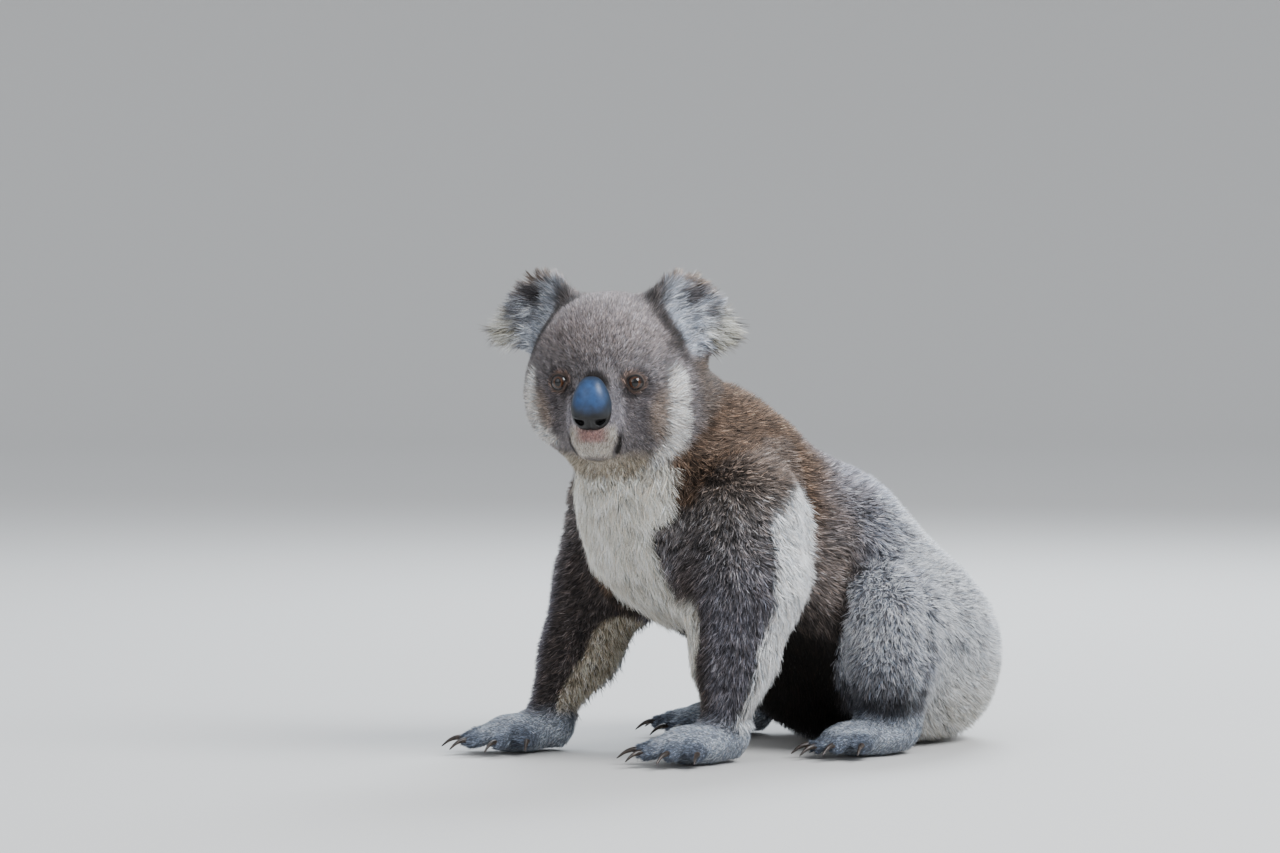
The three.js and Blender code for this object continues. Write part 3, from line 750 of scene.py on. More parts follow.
def ear_wisp(h):
    """The low outer corner of each ear, where the longest hairs hang out."""
    share = np.zeros(len(h))
    for side in SIDES.values():
        e = in_ear(h, side)
        mine = (h[:, 0] * side > 0) * ramp(np.hypot(e[:, 0], e[:, 1]), 18, 30)
        share = np.maximum(share, mine * ramp(e[:, 1], 4, -12) * ramp(e[:, 0], -8, 8))
    return share


# ---- features of the body ----


def bib(points, normals, regions):
    """The white front of the neck and chest, which narrows and slips to its left as it goes down."""
    x, y, z = points.T
    middle_x = 23 - 26 * ramp(z, 178, 216)
    half = 50 + 27 * ramp(z, 178, 216)
    front = ramp(normals @ unit(np.array([0.12, -1.0, -0.25])), 0.0, 0.4) * ramp(y, -70, -105)
    return front * ramp(np.abs(x - middle_x), half + 5, half - 6) * (1 - regions.of("head", "ear"))


def arms_facing(normals, regions, way):
    """For each arm, how far its skin faces a way given for the left one, and where the arm is."""
    for side, sign in SIDES.items():
        facing = normals @ unit(np.array(way) * [sign, 1, 1])
        yield facing, regions.of(f"arm_{side}", f"forearm_{side}")


def arm_rear(points, normals, regions):
    """The long pale hair down the back of the arms."""
    z = points[:, 2]
    edge = 0.5 + 0.4 * ramp(z, 215, 256)
    share = np.max([
        ramp(facing - edge, -0.05, 0.18) * ramp(arm, 0.3, 0.6)
        for facing, arm in arms_facing(normals, regions, (0.55, 0.83, 0))
    ], axis=0)
    return share * ramp(z, 258, 246) * ramp(z, 22, 40)


def arm_fringe(points, normals, regions):
    """The chest's white hair where it runs on down the inner front edge of the left arm."""
    z = points[:, 2]
    edge = normals @ np.array([-0.6, -0.8, 0]) - 0.22 * ramp(z, 150, 70)
    arm = regions.of("arm_left", "forearm_left")
    return ramp(edge, 0.66, 0.84) * arm * ramp(z, 172, 130) * ramp(z, 45, 70)


def arm_inner(normals, regions):
    """The thinner, paler hair down the inside of the arms."""
    inner = arms_facing(normals, regions, (-0.75, 0.66, 0))
    return np.max([ramp(facing, 0.3, 0.65) * arm for facing, arm in inner], axis=0)


def digit_gap(points):
    """1 in the furrows between neighbouring digits, and 0 from the middle of the paw."""
    share = np.zeros(len(points))
    for paw in PAWS:
        tips = claws_of(paw)
        away = [stretch_distance(points, middle(paw), tip) for tip in tips]
        first, second = np.sort(away, axis=0)[:2]
        near = np.min([length_of(points - tip) for tip in tips], axis=0)
        share = np.maximum(share, ramp(second - first, 4, 0.5) * ramp(near, 34, 22))
    return share


def on_leg(points):
    """1 on the hind legs themselves, and 0 from a little outside them."""
    p = mirrored(points)
    outside = [length_of(p - centre) - radius for centre, radius in LEG_BALLS]
    return ramp(np.min(outside, axis=0), 12, 0)


def fold_depth(points):
    """How deep the folds press in, from 0 to 1."""
    knee = hump(line_distance(points, KNEE_FOLD), 0, 8)
    edge = hump(line_distance(points + [0, -9, 0], THIGH_EDGE), 0, 6.5)
    return np.maximum(knee, 0.65 * edge)


def creased(points, regions):
    """Where the coat opens in rows of short creases: most over the shoulders, less on arms and thighs."""
    y, z = points[:, 1], points[:, 2]
    shoulder = regions.of("arm") * ramp(z, 178, 205) * ramp(z, 280, 262) * ramp(y, -60, -95)
    limbs = 0.45 * regions.of("arm", "forearm", "thigh", "shank") + 0.25 * ramp(y, 20, 90)
    return np.clip(shoulder + limbs * ramp(z, 30, 60), 0, 1)


def creases(points, share):
    """Short partings, from 0 to 1, in rows across the lie of the hair, where the tufts lie lower and are
    painted darker as shade.
    """
    y, z = points[:, 1], points[:, 2]
    row = (z - 0.25 * y + 5 * waves(points, 55, 11)) / CREASE_SPACING
    line = ramp(np.abs(row - np.round(row)), 0.28, 0.1)
    broken = ramp(waves(points, 22, 12), 0.5 - 0.6 * share, 0.75 - 0.45 * share)
    return line * broken * share


# ---- the coat's measures ----


def patches(points, normals, h, regions):
    """How much each special patch of coat covers each point, in the order they are laid on."""
    head = regions.of("head")
    muzzle = np.maximum(spot(h, [0, -88, -30], [40, 45, 52]), spot(h, [0, -80, -62], [34, 40, 26]))
    ears = regions.of("ear")
    rim = np.zeros(len(points))
    for side in SIDES.values():
        facing = np.abs(normals @ HEAD_TURN @ ear_turn(side)[:, 2])
        rim = np.maximum(rim, ramp(facing, 0.75, 0.35) * (h[:, 0] * side > 0))
    return {
        "face": face_share(h, regions),
        "muzzle": head * ramp(muzzle, 0.1, 0.5),
        "cheek": head * cheek_band(h),
        "bib": bib(points, normals, regions) * ramp(regions.of("trunk", "neck"), 0.3, 0.8),
        "arm_fringe": arm_fringe(points, normals, regions),
        "arm_rear": arm_rear(points, normals, regions),
        "ear_rim": ears * rim,
        "wisp": ears * ear_wisp(h),
        "under": ramp(normals[:, 2], -0.35, -0.7) * (1 - regions.of("head", "neck", "ear")),
    }


def coat_values(points, normals, regions):
    """The measures of the coat at each point of the skin."""
    h = to_head(points)
    values = {key: regions.mix(key) for key in MEASURES}
    for name, share in patches(points, normals, h, regions).items():
        for key, value in PATCHES[name].items():
            values[key] = values[key] * (1 - share) + value * share
    for side in SIDES.values():
        e = in_ear(h, side)
        room = np.clip(EAR_REACH - np.hypot(e[:, 0], e[:, 1]), *EAR_HAIR_ROOM) + WISP_ROOM * ear_wisp(h)
        near = (h[:, 0] * side > 0) * ramp(regions.of("ear"), 0.3, 0.7)
        values["length"] += (np.minimum(values["length"], room) - values["length"]) * near
    return values


# ---- skin ----

VOXEL = 3.5
OVERLAP = 0.6  # that each node grows, to close the gaps between them
PLUGS = {"eye_left": 0.98, "eye_right": 0.98, "nose": 0.94}  # their sizes as shares of the nodes'
CLAW_PLUG = 5.2  # radius of the ball in a claw's socket
CLAW_PLUG_AT = 1.5  # along the claw from its thick end
REACHES = (26, 19)  # round the eyes and the mouth, where the skin's faces are halved once for each
SKIN_CLEARANCE = 0.4  # above the ground


def plug(node, share):
    """A smaller copy of a piece that stands in a socket of the flesh, to fill that socket."""
    ob = copy_of(node)
    centre = middle(node)
    set_points(ob.data, centre + (points_of(ob.data) - centre) * share)
    return ob


def claw_plug(node):
    """A ball in a claw's socket, at the claw's thick end."""
    paw = node.split("_claw_")[0] + "_" + node.split("_")[-2]
    points = points_of(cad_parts[node].data)
    root = points[np.argmin(length_of(points - middle(paw)))]
    place = root + unit(middle(node) - root) * CLAW_PLUG_AT
    bpy.ops.mesh.primitive_ico_sphere_add(subdivisions=2, radius=CLAW_PLUG * MM, location=place * MM)
    return bpy.context.object


def make_skin():
    """One closed skin round all the flesh and the plugs of its sockets."""
    pieces = [copy_of(name) for name in FLESH]
    for ob in pieces:
        modify(ob, "DISPLACE", strength=OVERLAP * MM, mid_level=0)
    pieces += [plug(name, share) for name, share in PLUGS.items()]
    pieces += [claw_plug(name) for name in CLAWS]
    take(pieces[0])
    for ob in pieces:
        ob.select_set(True)
    bpy.ops.object.join()
    skin = bpy.context.object
    skin.name = skin.data.name = "skin"
    modify(skin, "REMESH", mode="VOXEL", voxel_size=VOXEL * MM)
    return skin


def relax(points, links, times, amount):
    """Smooths by that many steps, as far as amount says for each vertex, and puts back the shrinkage."""
    smooth = points.copy()
    for _ in range(times):
        smooth += (links.average(smooth) - smooth) * 0.5 * amount[:, None]
    return smooth + links.smooth(points - smooth, 2 * times)


def shape_lids(h):
    """Lays the skin round each eye over the eyeball, with the lids' rims and the creases beyond them."""
    for side in SIDES.values():
        t, radius, angle = eye_opening(h, side)
        lid = 7.6 + 2.0 * ramp(t, 0.93, 1.05) + 0.3 * ramp(t, 1.08, 1.4)
        lid -= 0.8 * hump(t, 1.55, 0.12)
        lid += 0.6 * hump(t, 1.85, 0.2) * np.clip(np.sin(angle) + 0.3, 0, 1)
        lid += 0.5 * hump(t, 1.85, 0.16) * np.clip(-np.sin(angle), 0, 1)
        centre = EYE_IN_HEAD * [side, 1, 1]
        target = centre + eye_offset(h, side) / radius[:, None] * lid[:, None]
        h = over(h, target, ramp(t, 2.2, 1.4))
    return h


def divide_near(skin, reach):
    """Halves the faces near the eyes and the mouth."""
    mesh = skin.data
    take(skin)
    h = to_head(points_of(mesh))
    near = [length_of(eye_offset(h, side)) < reach for side in SIDES.values()]
    near.append(length_of((h - MOUTH_IN_HEAD) / [1.2, 1, 1]) < reach)
    corners = read(mesh.loops, "vertex_index", np.int32)
    starts = read(mesh.polygons, "loop_start", np.int32)
    flags = np.logical_and.reduceat(np.any(near, axis=0)[corners], starts)
    mesh.polygons.foreach_set("select", flags)
    for items in (mesh.edges, mesh.vertices):
        items.foreach_set("select", np.zeros(len(items), bool))
    bpy.ops.object.mode_set(mode="EDIT")
    bpy.ops.mesh.select_mode(type="FACE")
    bpy.ops.mesh.subdivide(number_cuts=1, quadcorner="INNERVERT")
    bpy.ops.object.mode_set(mode="OBJECT")


def shape_skin(skin):
    """Smooths the skin, sinks it below the fur, and presses in its folds, lids and mouth."""
    mesh = skin.data
    links = Links(mesh)
    points = points_of(mesh)
    regions = Regions(points, links, 12)
    fine = regions.of("forepaw", "hindpaw")
    middling = regions.of("head", "ear")
    points = relax(points, links, 26, np.clip(1 - 0.9 * fine - 0.7 * middling, 0.05, 1))
    set_points(mesh, points)
    depth = coat_values(points, normals_of(mesh), regions)["depth"]
    furrow = digit_gap(points) * fine
    sunk = depth + FOLD_DEPTH * fold_depth(points) + FURROW_DEPTH * furrow
    points = points - normals_of(mesh) * sunk[:, None]
    points = relax(points, links, 4, np.ones(len(points)))
    points[:, 2] = np.maximum(points[:, 2], SKIN_CLEARANCE)
    set_points(mesh, points)
    for reach in REACHES:
        divide_near(skin, reach)
    h = shape_lids(to_head(points_of(mesh)))
    h[:, 1] += MOUTH_DEPTH * mouth_corner(h)
    h[:, 1] += NOSE_HOLLOW * ramp(nose_rim(h), 0.97, 0.8) * ramp(h[:, 1], -92, -102)
    set_points(mesh, from_head(h))


# ---- the lie of the coat ----


def lie_field(points, normals, links, regions):
    """The way the hair lies on the skin, as unit vectors along it."""
    h = to_head(points)
    lie = np.outer(regions.of("trunk"), unit(np.array(TRUNK_LIE)))
    for side, sign in SIDES.items():
        for part, other in LIE_TO.items():
            along = unit(middle(f"{other}_{side}") - middle(f"{part}_{side}"))
            lie += np.outer(regions.of(f"{part}_{side}"), unit(along + [0.15 * sign, 0.25, -0.2]))
        for paw in (f"forepaw_{side}", f"hindpaw_{side}"):
            tips = np.mean(claws_of(paw), axis=0)
            lie += np.outer(regions.of(paw), unit(tips - middle(paw)))
    nape = unit(points - HEAD_AT - [0, 0, 10])
    lie += regions.of("neck")[:, None] * (0.5 * nape + np.array([0, 0.3, -0.8]))
    lie += bib(points, normals, regions)[:, None] * np.array([0, 0.2, -1.2])
    lie += arm_rear(points, normals, regions)[:, None] * np.array([0.3, 0.8, -0.9])
    radial = unit(h - [0, -60, -22])
    for side in SIDES.values():
        near = ramp(eye_opening(h, side)[0], 3.2, 1.2)
        radial += near[:, None] * unit(eye_offset(h, side)) * 1.8
    lie += regions.of("head")[:, None] * (radial @ HEAD_TURN.T)
    for name, side in SIDES.items():
        e = in_ear(h, side)
        out = unit(np.stack([e[:, 0] - EAR_FAN[0], e[:, 1] - EAR_FAN[1], np.full(len(e), -6.0)], 1))
        lie += regions.of(f"ear_{name}")[:, None] * (out @ ear_turn(side).T @ HEAD_TURN.T) * 2
    for _ in range(14):
        lie = links.smooth(lie, 1)
        lie -= normals * (lie * normals).sum(1)[:, None]
    return unit(lie)


# ---- markings ----


def arm_colour(normals, regions, z):
    """Brown at the shoulders, darker with painted shade on the sides towards the chest, and pale down the
    inner rear.
    """
    colour = layered(
        PALETTE["arm"],
        ("arm_front", ramp(z, 250, 130)),
        ("shoulder", 0.75 * ramp(z, 222, 262)),
    )
    across = normals * [1, 1, 0] @ np.array([[-0.8, 0.8], [-0.6, -0.6], [0, 0]])
    inward = np.where(regions.of("arm_left", "forearm_left") > 0.3, across[:, 0], across[:, 1])
    return layered(
        colour,
        ("arm_shaded", ramp(inward, 0.1, 0.7)),
        ("arm_inner", 0.9 * ramp(arm_inner(normals, regions), 0.2, 0.6)),
    )


def paw_colour(points):
    """Pale paws, whose digits darken towards the claws, with painted shade in the furrows between them."""
    near = np.min([length_of(points - middle(name)) for name in CLAWS], axis=0)
    colour = layered(PALETTE["paw"], ("digit", ramp(near, 34, 14)))
    # painted shade in the furrows between the digits
    return colour * (1 - 0.6 * digit_gap(points))[:, None]


def head_markings(h):
    """The colour of the coat's tips over the head."""
    x, y, z = h.T
    p = mirrored(h)
    near_ear = ramp(spot(p, [62, 12, 42], [38, 46, 46]), 0.05, 0.35)
    ear_hair = near_ear * ramp(y + 0.4 * (p[:, 0] - 50), -2, 8) * ramp(y, 34, 24)
    ear_base = 0.92 * ramp(line_distance(h, EAR_ROOT) + 6 * waves(h, 20, 41), 24, 5)
    rim = nose_rim(h)
    front = ramp(y, -66, -80)
    colour = layered(
        PALETTE["face"],
        ("brow", ramp(z, 2, 40)),
        # partly painted shade behind the cheeks' fringe
        ("nape", ramp(y + 16 * ramp(z, 34, 0) - 34 * near_ear, -6, 24)),
        ("cheek", ramp(spot(p, [38, -58, -28], [30, 40, 40]), 0.1, 0.5)),
        ("cheek_tan", 0.5 * ramp(spot(p, [54, -46, -36], [20, 30, 40]), 0.05, 0.7)),
        ("throat", ramp(z, -62, -76) * ramp(y, -86, -60)),
        ("cheek_edge", ramp(cheek_band(h), 0.3, 0.95)),
        ("muzzle", ramp(rim, 1.6, 1.25) * ramp(z, -4, -14) * front),
        ("chin", chin(h)),
        ("lip", chin(h) * ramp(np.abs(x), 19, 8) * ramp(z, -59, -53)),
        ("dark", ramp(rim, 1.15, 1.03) * ramp(z, -16, -6) * front),
        # painted shadow in the creases at the corners of the mouth, over the real dip pressed in there
        ("dark", mouth_corner(h)),
        ("ear_hair", ear_hair),
        ("ear_base", ear_base),
    )
    for side in SIDES.values():
        t = eye_opening(h, side)[0]
        colour = over(colour, PALETTE["cheek"] * 0.7, ramp(t, 2.4, 1.7) * 0.7)
        colour = over(colour, PALETTE["lid"], ramp(t, 1.45, 1.3))
        colour = over(colour, PALETTE["dark"] * 0.5, ramp(t, 1.2, 1.08))
    return colour


def ear_markings(h, n):
    """The colour of the coat's tips over the ears, from points and normals in the head's frame."""
    colour = np.tile(PALETTE["ear_back"], (len(h), 1))
    back = over(PALETTE["ear_back"], PALETTE["ear_rim"], 0.5)
    for side in SIDES.values():
        e = in_ear(h, side)
        across, up = e[:, 0], e[:, 1]
        around = np.arctan2(up - EAR_FAN[1], across - EAR_FAN[0])
        along = np.hypot(across - EAR_FAN[0], up - EAR_FAN[1])
        strands = waves(np.stack([65 * around, 0.25 * along, 0 * around], 1), 9, 51)
        flat = e * [1, 1, 0]
        hair = layered(
            PALETTE["ear_hair"],
            ("ear_pit", 0.75 * ramp(strands, -0.1, 0.6)),
            ("ear_pit", 0.9 * ramp(spot(flat, [4, 13, 0], [17, 9, 1]), 0.05, 0.6)),
            ("ear_pit", 0.6 * ramp(spot(flat, [22, 0, 0], [11, 17, 1]), 0.05, 0.6)),
            ("ear_rim", ramp(0.35 * across + up + 3 * strands, 17, 29)),
            ("wisp", ear_wisp(h)),
        )
        shade = over(back, hair, ramp(n @ ear_turn(side)[:, 2], -0.1, 0.35))
        base = ramp(across + 0.3 * up, -8, -22) * ramp(h[:, 1], 34, 20)
        shade = over(shade, PALETTE["ear_base"], base)
        colour = np.where((h[:, 0] * side > 0)[:, None], shade, colour)
    return colour


def markings(points, normals, regions):
    """The colour of the coat's tips over the whole animal."""
    h = to_head(points)
    y, z = points[:, 1], points[:, 2]
    mottle = waves(points, 45, 21)
    blotch = waves(points, 30, 22)
    legs = np.minimum(ramp(regions.of("thigh", "shank"), 0.15, 0.85), on_leg(points))
    flank = ramp(y, -100, -75) * ramp(y, 70, 40) * (1 - ramp(legs, 0.3, 0.7))
    # where the trunk and thighs face downwards, which get painted shade
    low = ramp(normals[:, 2], -0.2, -0.7) * regions.of("trunk", "thigh") * ramp(y, 120, 60)
    # painted light along the ridge where the thigh bulges over the rump's fold
    ridge = hump(line_distance(points + [0, 5, 0], THIGH_EDGE), 0, 6)
    patch = ramp(blotch, 0.25, 0.6) * ramp(y, 80, 120) * 0.6
    colour = layered(
        PALETTE["back"],
        ("shoulder", ramp(y - 0.35 * z + 14 * mottle, 38, -85)),
        ("rump", ramp(y + 18 * mottle - 0.45 * np.maximum(z - 150, 0), 55, 145)),
    )
    # the legs are painted darker towards the ground, as shade
    leg = layered(PALETTE["leg_low_shade"], ("leg", ramp(z, 45, 125)))
    colour = over(colour, leg, legs * ramp(y, 130, 80))
    colour = layered(
        colour,
        ("seat", ramp(y, 90, 170) * ramp(z, 110, 30)),
        ("flank", flank * ramp(z, 225, 180)),
        # painted shade low on the flanks between the arms and thighs, and under the trunk and thighs
        ("painted_belly_shade", flank * ramp(z + 8 * blotch, 170, 95)),
        ("painted_belly_shade", low),
        ("pale_patch_and_lit_ridge", np.maximum(0.85 * ridge, patch)),
    )
    arms = regions.of("arm", "forearm")
    colour = over(colour, arm_colour(normals, regions, z), ramp(arms, 0.35, 0.75))
    colour = layered(
        colour,
        ("bib", ramp(bib(points, normals, regions), 0.25, 0.6) * (1 - ramp(arms, 0.5, 0.8))),
        ("bib", 0.85 * ramp(arm_fringe(points, normals, regions), 0.2, 0.6)),
        ("arm_rear", ramp(arm_rear(points, normals, regions), 0.15, 0.6)),
    )
    colour = over(colour, paw_colour(points), regions.of("forepaw", "hindpaw"))
    colour = over(colour, head_markings(h), ramp(regions.of("head", "ear"), 0.3, 0.7))
    colour = over(colour, ear_markings(h, normals @ HEAD_TURN), ramp(regions.of("ear"), 0.3, 0.7))
    # painted shade in the folds, darker the deeper they press in
    return colour * (1 - 0.6 * fold_depth(points))[:, None]


# ---- tufts ----

RNG = np.random.default_rng(7)
PATCH = 0.003  # across a tuft's patch of OFBake
# A long tuft is a slim spindle: a root, a ring of three and a tip. A short one is a spike on three
# corners. Each has its faces, the places of its corners in its patch, and their share of light.
LONG = {
    "faces": np.array([(0, 2, 1), (0, 3, 2), (0, 1, 3), (4, 1, 2), (4, 2, 3), (4, 3, 1)]),
    "uv": np.array([(0.5, 0.0), (0.0, 0.4), (0.5, 0.4), (1.0, 0.4), (0.5, 1.0)]) - 0.5,
    "shade": np.array([0.24, 0.6, 0.65, 0.6, 1.06]),
}
SHORT = {
    "faces": np.array([(0, 2, 1), (3, 0, 1), (3, 1, 2), (3, 2, 0)]),
    "uv": np.array([(0.0, 0.0), (0.5, 0.1), (1.0, 0.0), (0.5, 1.0)]) - 0.5,
    "shade": np.array([0.34, 0.37, 0.34, 1.06]),
}
SOFTEN = 0.8  # how far a tuft's own form turns its shading away from the skin's
SPLAY = 0.5  # how far tufts stray sideways from the lie, as a spread of its tangent
LEAST_REACH = 0.32  # the least that a tuft runs along the skin, as a share of its length
GUARD_SHARE = 0.03  # of the tufts are guard hairs, longer, higher and paler than the rest
GUARD = {"length": 1.2, "rise": 1.25, "tone": 1.3}
DARK_SHARE = 0.3  # of the tufts are dark, times their fleck
DARK_TONE = 0.5
COAT_CLEARANCE = 0.3  # above the ground
CELL_PRIMES = [73856093, 19349663, 83492791]  # they number the cells of a grid


def triangles_of(mesh):
    mesh.calc_loop_triangles()
    return [read(mesh.loop_triangles, kind, np.int32, 3) for kind in ("vertices", "loops")]


class Skin:
    """The finished skin with all that the coat needs to know at each vertex."""

    def __init__(self, ob):
        mesh = ob.data
        self.points = points_of(mesh)
        links = Links(mesh)
        self.regions = Regions(self.points, links, 14)
        self.normals = unit(links.smooth(normals_of(mesh), 3))
        self.values = coat_values(self.points, self.normals, self.regions)
        self.lie = lie_field(self.points, self.normals, links, self.regions)
        self.colour = markings(self.points, self.normals, self.regions)
        self.fold = fold_depth(self.points)
        self.creased = creased(self.points, self.regions)
        self.triangles, self.loops = triangles_of(mesh)
        self.uv = read(mesh.uv_layers["OFBake"].data, "uv", np.float32, 2)

    def bare(self):
        """1 where no hair grows: on the rims of the lids, under the nose pad and on the ground."""
        h = to_head(self.points)
        nose = length_of((h - NOSE_IN_HEAD) / (NOSE_RADII + 0.5))
        bare = [ramp(eye_opening(h, side)[0], 1.42, 1.28) for side in SIDES.values()]
        bare += [ramp(nose, 1.02, 0.98), ramp(self.points[:, 2], 2.0, 1.0)]
        return np.max(bare, axis=0)


def sample(skin):
    """Evenly scattered roots: which triangle each is on, and where on it."""
    a, b, c = (skin.points[skin.triangles[:, i]] for i in range(3))
    area = length_of(np.cross(b - a, c - a)) / 200  # in square centimetres
    density = skin.values["density"] * (1 - skin.bare())
    wanted = np.cumsum(area * density[skin.triangles].mean(1))
    count = int(wanted[-1])
    at = (np.arange(count) + RNG.random(count)) * wanted[-1] / count
    chosen = np.minimum(np.searchsorted(wanted, at), len(area) - 1)
    u, v = RNG.random((2, count))
    fold = u + v > 1
    u, v = np.where(fold, 1 - u, u), np.where(fold, 1 - v, v)
    return chosen, np.stack([1 - u - v, u, v], 1)


def blend_at(values, corners, weights):
    if values.ndim == 1:
        return (values[corners] * weights).sum(1)
    return (values[corners] * weights[..., None]).sum(1)


def draw_together(roots, tips, lock, pull):
    """Draws the tips together in locks, each towards the tip of one of the tufts."""
    order = RNG.permutation(len(roots))
    step = np.round(lock[order])
    cell = np.floor(roots[order] / step[:, None]).astype(np.int64)
    key = (cell * CELL_PRIMES).sum(1) * 31 + step.astype(np.int64)
    first = order[np.unique(key, return_index=True)[1]]
    tree = KDTree(len(first))
    for index, root in enumerate(roots[first].tolist()):
        tree.insert(root, index)
    tree.balance()
    leader = first[[tree.find(root)[1] for root in roots.tolist()]]
    offset = tips - roots
    tips = roots + offset + (offset[leader] - offset) * pull[:, None]
    return tips + (tips[leader] - tips) * pull[:, None], leader


def tuft_tips(root, normal, lie, coat, creased_here, fold):
    """Where the tufts end, and for each its rise from the skin, the leader of its lock, whether it is
    a guard hair, and how far it stands in a crease."""
    count = len(root)
    side = np.cross(lie, normal)
    lie = unit(lie + side * RNG.normal(0, SPLAY, count)[:, None])
    length = coat["length"] * RNG.uniform(0.75, 1.2, count)
    rise = coat["depth"] * RNG.uniform(0.66, 1.06, count) * (1 + 0.1 * waves(root, 34, 3))
    guard = RNG.random(count) < GUARD_SHARE
    length[guard] *= GUARD["length"]
    rise[guard] *= GUARD["rise"]
    reach = np.sqrt(np.maximum(length**2 - rise**2, (LEAST_REACH * length) ** 2))
    crease = creases(root + lie * reach[:, None], creased_here)
    rise *= 1 - 0.5 * np.maximum(crease, fold)
    tip = root + lie * reach[:, None] + normal * rise[:, None]
    pull = np.clip(coat["pull"] * RNG.normal(1, 0.4, count), 0, 0.8)
    tip, leader = draw_together(root, tip, coat["lock"], pull)
    return tip, rise, leader, guard, crease


def tuft_tones(root, coat, leader, guard, crease):
    """How light each tuft is, against the coat's colour there."""
    count = len(root)
    fleck, streak = coat["fleck"], coat["streak"]
    mottle = 0.26 * waves(root, 8, 31) + 0.26 * waves(root, 18, 32)
    own = fleck * RNG.normal(0, 1, count)
    shared = streak * RNG.normal(0, 1, count)[leader]
    tone = np.exp(own + shared + 2 * fleck * mottle)
    dark = RNG.random(count) < DARK_SHARE * fleck
    tone[dark] *= DARK_TONE
    tone[guard] *= GUARD["tone"]
    # painted shade in the partings of the creases
    return tone * (1 - 0.8 * crease)


def tuft_corners(kind, root, tip, normal, rise, width):
    """The corners of the tufts, and the way each corner faces by the tuft's own form."""
    along = unit(tip - root)
    side = unit(np.cross(along, normal))
    up = np.cross(side, along)
    half = (width * RNG.uniform(0.7, 1.25, len(root)) / 2)[:, None]
    if kind is LONG:
        ring = root + (tip - root) * 0.36 + normal * (rise * 0.28)[:, None]
        points = [root - normal * 0.4, ring - side * half, ring + up * half * 0.8, ring + side * half, tip]
        facing = [-along, -side, up, side, along]
    else:
        base = root - normal * 0.3
        points = [base - side * half, base + up * half * 1.2, base + side * half, tip]
        facing = [-side, up, side, along]
    return np.stack(points, 1), np.stack(facing, 1)


def grow(skin, chosen, weights, kind):
    """The corners, shading normals, colours and patches of the tufts on the chosen places."""
    corners = skin.triangles[chosen]
    root = blend_at(skin.points, corners, weights)
    normal = unit(blend_at(skin.normals, corners, weights))
    lie = unit(blend_at(skin.lie, corners, weights))
    coat = {key: blend_at(skin.values[key], corners, weights) for key in MEASURES}
    creased_here = blend_at(skin.creased, corners, weights)
    fold = blend_at(skin.fold, corners, weights)
    tip, rise, leader, guard, crease = tuft_tips(root, normal, lie, coat, creased_here, fold)
    tone = tuft_tones(root, coat, leader, guard, crease)
    warmth = RNG.normal(0, 0.05, len(root))[:, None] * [1, 0, -1]
    colour = blend_at(skin.colour, corners, weights) * np.exp(warmth)
    points, facing = tuft_corners(kind, root, tip, normal, rise, coat["width"])
    points[..., 2] = np.maximum(points[..., 2], COAT_CLEARANCE)
    shading = unit(normal[:, None] + facing * SOFTEN)
    shade = kind["shade"][None, :] * tone[:, None]
    uv = blend_at(skin.uv, skin.loops[chosen], weights)
    return points, shading, colour[:, None, :] * shade[..., None], uv


# ---- pieces of the coat ----

# The slot of each area, and the parts it covers. The rump and the fringe take theirs from the others.
AREAS = {
    "head": ("head_fur", ["head"]),
    "ears": ("ear_fur", ["ear"]),
    "neck": ("head_fur", ["neck"]),
    "trunk": ("body_fur", ["trunk"]),
    "rump": ("rump_fur", []),
    "arms": ("limb_fur", ["arm", "forearm"]),
    "legs": ("limb_fur", ["thigh", "shank"]),
    "paws": ("paw_fur", ["forepaw", "hindpaw"]),
    "fringe": ("body_fur", []),
}
RUMP_FROM = 60  # along Y, over the trunk
LONG_FROM = 14.5  # longer tufts make up the fringes of the cheeks, chest and arms
MOST = 195000  # triangles in a piece


def area_of(skin, chosen):
    """Which area of the coat each chosen triangle belongs to."""
    corner = skin.triangles[chosen][:, 0]
    area = {part: name for name, (_, parts) in AREAS.items() for part in parts}
    label = np.array([area[part_of(name)] for name in FLESH], "<U8")
    label = label[skin.regions.share[corner].argmax(1)]
    label[(label == "trunk") & (skin.points[corner, 1] > RUMP_FROM)] = "rump"
    label[(label != "ears") & (skin.values["length"][corner] > LONG_FROM)] = "fringe"
    return label


def coat_piece(name, kind, points, shading, colours, uv):
    """One mesh of many tufts."""
    count, corners = points.shape[:2]
    faces = kind["faces"]
    mesh = bpy.data.meshes.new(name)
    mesh.vertices.add(count * corners)
    mesh.vertices.foreach_set("co", (points * MM).astype(np.float32).ravel())
    loops = (faces[None] + np.arange(count)[:, None, None] * corners).astype(np.int32).ravel()
    mesh.loops.add(len(loops))
    mesh.loops.foreach_set("vertex_index", loops)
    mesh.polygons.add(count * len(faces))
    mesh.polygons.foreach_set("loop_start", np.arange(0, len(loops), 3, dtype=np.int32))
    mesh.polygons.foreach_set("use_smooth", np.ones(count * len(faces), bool))
    mesh.update(calc_edges=True)
    layer = mesh.uv_layers.new(name="OFBake")
    patch = uv[:, None, :] + kind["uv"][faces.ravel()][None] * PATCH
    layer.data.foreach_set("uv", patch.astype(np.float32).ravel())
    mesh.normals_split_custom_set_from_vertices(shading.reshape(-1, 3))
    ob = bpy.data.objects.new(name, mesh)
    paint(ob, "Coat", colours.reshape(-1, 3))
    bpy.context.scene.collection.objects.link(ob)
    return ob


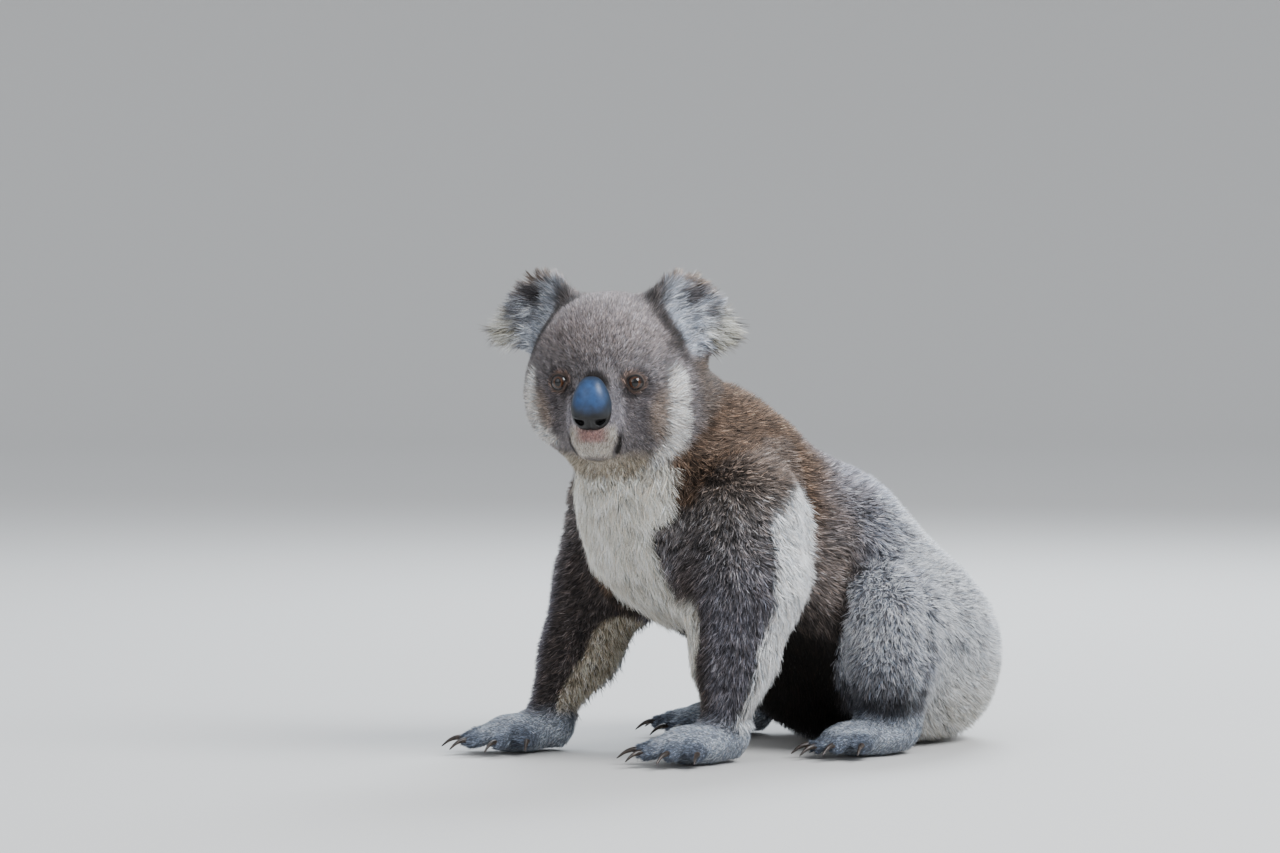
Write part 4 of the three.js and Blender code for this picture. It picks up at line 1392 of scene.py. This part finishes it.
def make_coat(skin):
    fur = fur_material()
    chosen, weights = sample(skin)
    label = area_of(skin, chosen)
    for area, (slot, _) in AREAS.items():
        mine = label == area
        kind = LONG if area == "fringe" else SHORT
        grown = grow(skin, chosen[mine], weights[mine], kind)
        count = mine.sum()
        parts = math.ceil(count * len(kind["faces"]) / MOST)
        for part, rows in enumerate(np.array_split(np.arange(count), parts)):
            name = f"coat_{area}" if parts == 1 else f"coat_{area}_{part + 1}"
            piece = coat_piece(name, kind, *(values[rows] for values in grown))
            piece.data.materials.append(fur)
            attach(piece, "root")


# ---- the finished pieces ----


def finish_skin():
    """The skin with its place in OFBake and its colour, and all that the coat needs of it."""
    skin_object = make_skin()
    shape_skin(skin_object)
    take(skin_object)
    bpy.ops.object.shade_smooth()
    bpy.ops.object.mode_set(mode="EDIT")
    bpy.ops.mesh.select_all(action="SELECT")
    bpy.ops.uv.smart_project(angle_limit=math.radians(60), island_margin=0.004)
    bpy.ops.object.mode_set(mode="OBJECT")
    skin_object.data.uv_layers[0].name = "OFBake"
    skin = Skin(skin_object)
    # the skin's colour: partly the underfur's own dark tone and partly painted shade between the tufts
    paint(skin_object, "Coat", skin.colour * UNDERFUR_AND_SHADE)
    skin_object.data.materials.append(skin_material())
    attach(skin_object, "root")
    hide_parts(*FLESH)
    return skin


def finish_eyes():
    for name, side in SIDES.items():
        eye = make_eye(name, side)
        eye.data.materials.append(eye_material())
        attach(eye, "root")
        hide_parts(f"eye_{name}")


def finish_nose():
    nose = make_nose()
    nose.data.materials.append(nose_material())
    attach(nose, "root")
    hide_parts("nose")


def finish_claws():
    horn = claw_material()
    for name in CLAWS:
        claw = make_claw(name)
        claw.data.materials.append(horn)
        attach(claw, "root")
        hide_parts(name)


# ---- studio, in metres ----

FLOOR_RADIUS = 9
RIM_RADIUS = 3  # of the curve up to the wall
RIM_STEPS = 12
SKY = ((0.88, 0.93, 1, 1), 0.84)  # colour and strength
LAMPS = (  # name, place, size, watts and colour
    ("key", (2.8, 0.9, 2.9), 2.0, 205, (0.94, 0.97, 1)),
    ("fill", (0.9, -3.2, 1.7), 2.4, 25, (1, 1, 1)),
    ("rim", (-1.6, 2.0, 2.6), 1.6, 136, (0.84, 0.92, 1)),
)
LAMPS_AIM = Vector((0, 0, 0.2))


def make_floor():
    """A pale dish: a wide flat floor whose rim curves up into a low wall."""
    bpy.ops.mesh.primitive_circle_add(vertices=96, radius=FLOOR_RADIUS, fill_type="NGON")
    floor = bpy.context.object
    floor.name = "floor"
    bpy.ops.object.mode_set(mode="EDIT")
    bpy.ops.mesh.select_all(action="SELECT")
    bpy.ops.mesh.select_mode(type="EDGE")
    bpy.ops.mesh.region_to_loop()
    for step in range(RIM_STEPS):
        before, after = (math.radians(90 / RIM_STEPS * at) for at in (step, step + 1))
        rise = RIM_RADIUS * (math.cos(before) - math.cos(after))
        last = FLOOR_RADIUS + RIM_RADIUS * math.sin(before)
        spread = (FLOOR_RADIUS + RIM_RADIUS * math.sin(after)) / last
        bpy.ops.mesh.extrude_region_move(TRANSFORM_OT_translate={"value": (0, 0, rise)})
        bpy.ops.transform.resize(value=(spread, spread, 1), center_override=(0, 0, 0))
    bpy.ops.object.mode_set(mode="OBJECT")
    bpy.ops.object.shade_smooth()
    made, tree = material("studio_floor")
    add_surface(tree, {}, {"Base Color": rgba("#d2d0cd"), "Roughness": 0.85})
    floor.data.materials.append(made)


def make_lights():
    world = bpy.data.worlds.new("studio")
    bpy.context.scene.world = world
    world.use_nodes = True
    sky = world.node_tree.nodes["Background"].inputs
    sky["Color"].default_value, sky["Strength"].default_value = SKY
    for name, place, size, watts, tint in LAMPS:
        turn = (LAMPS_AIM - Vector(place)).to_track_quat("-Z", "Y").to_euler()
        bpy.ops.object.light_add(type="AREA", location=place, rotation=turn)
        lamp = bpy.context.object
        lamp.name = name
        lamp.data.size = size
        lamp.data.energy = watts
        lamp.data.color = tint


# ---- run ----

make_camera()
skin = finish_skin()
finish_eyes()
finish_nose()
finish_claws()
make_coat(skin)
make_floor()
make_lights()
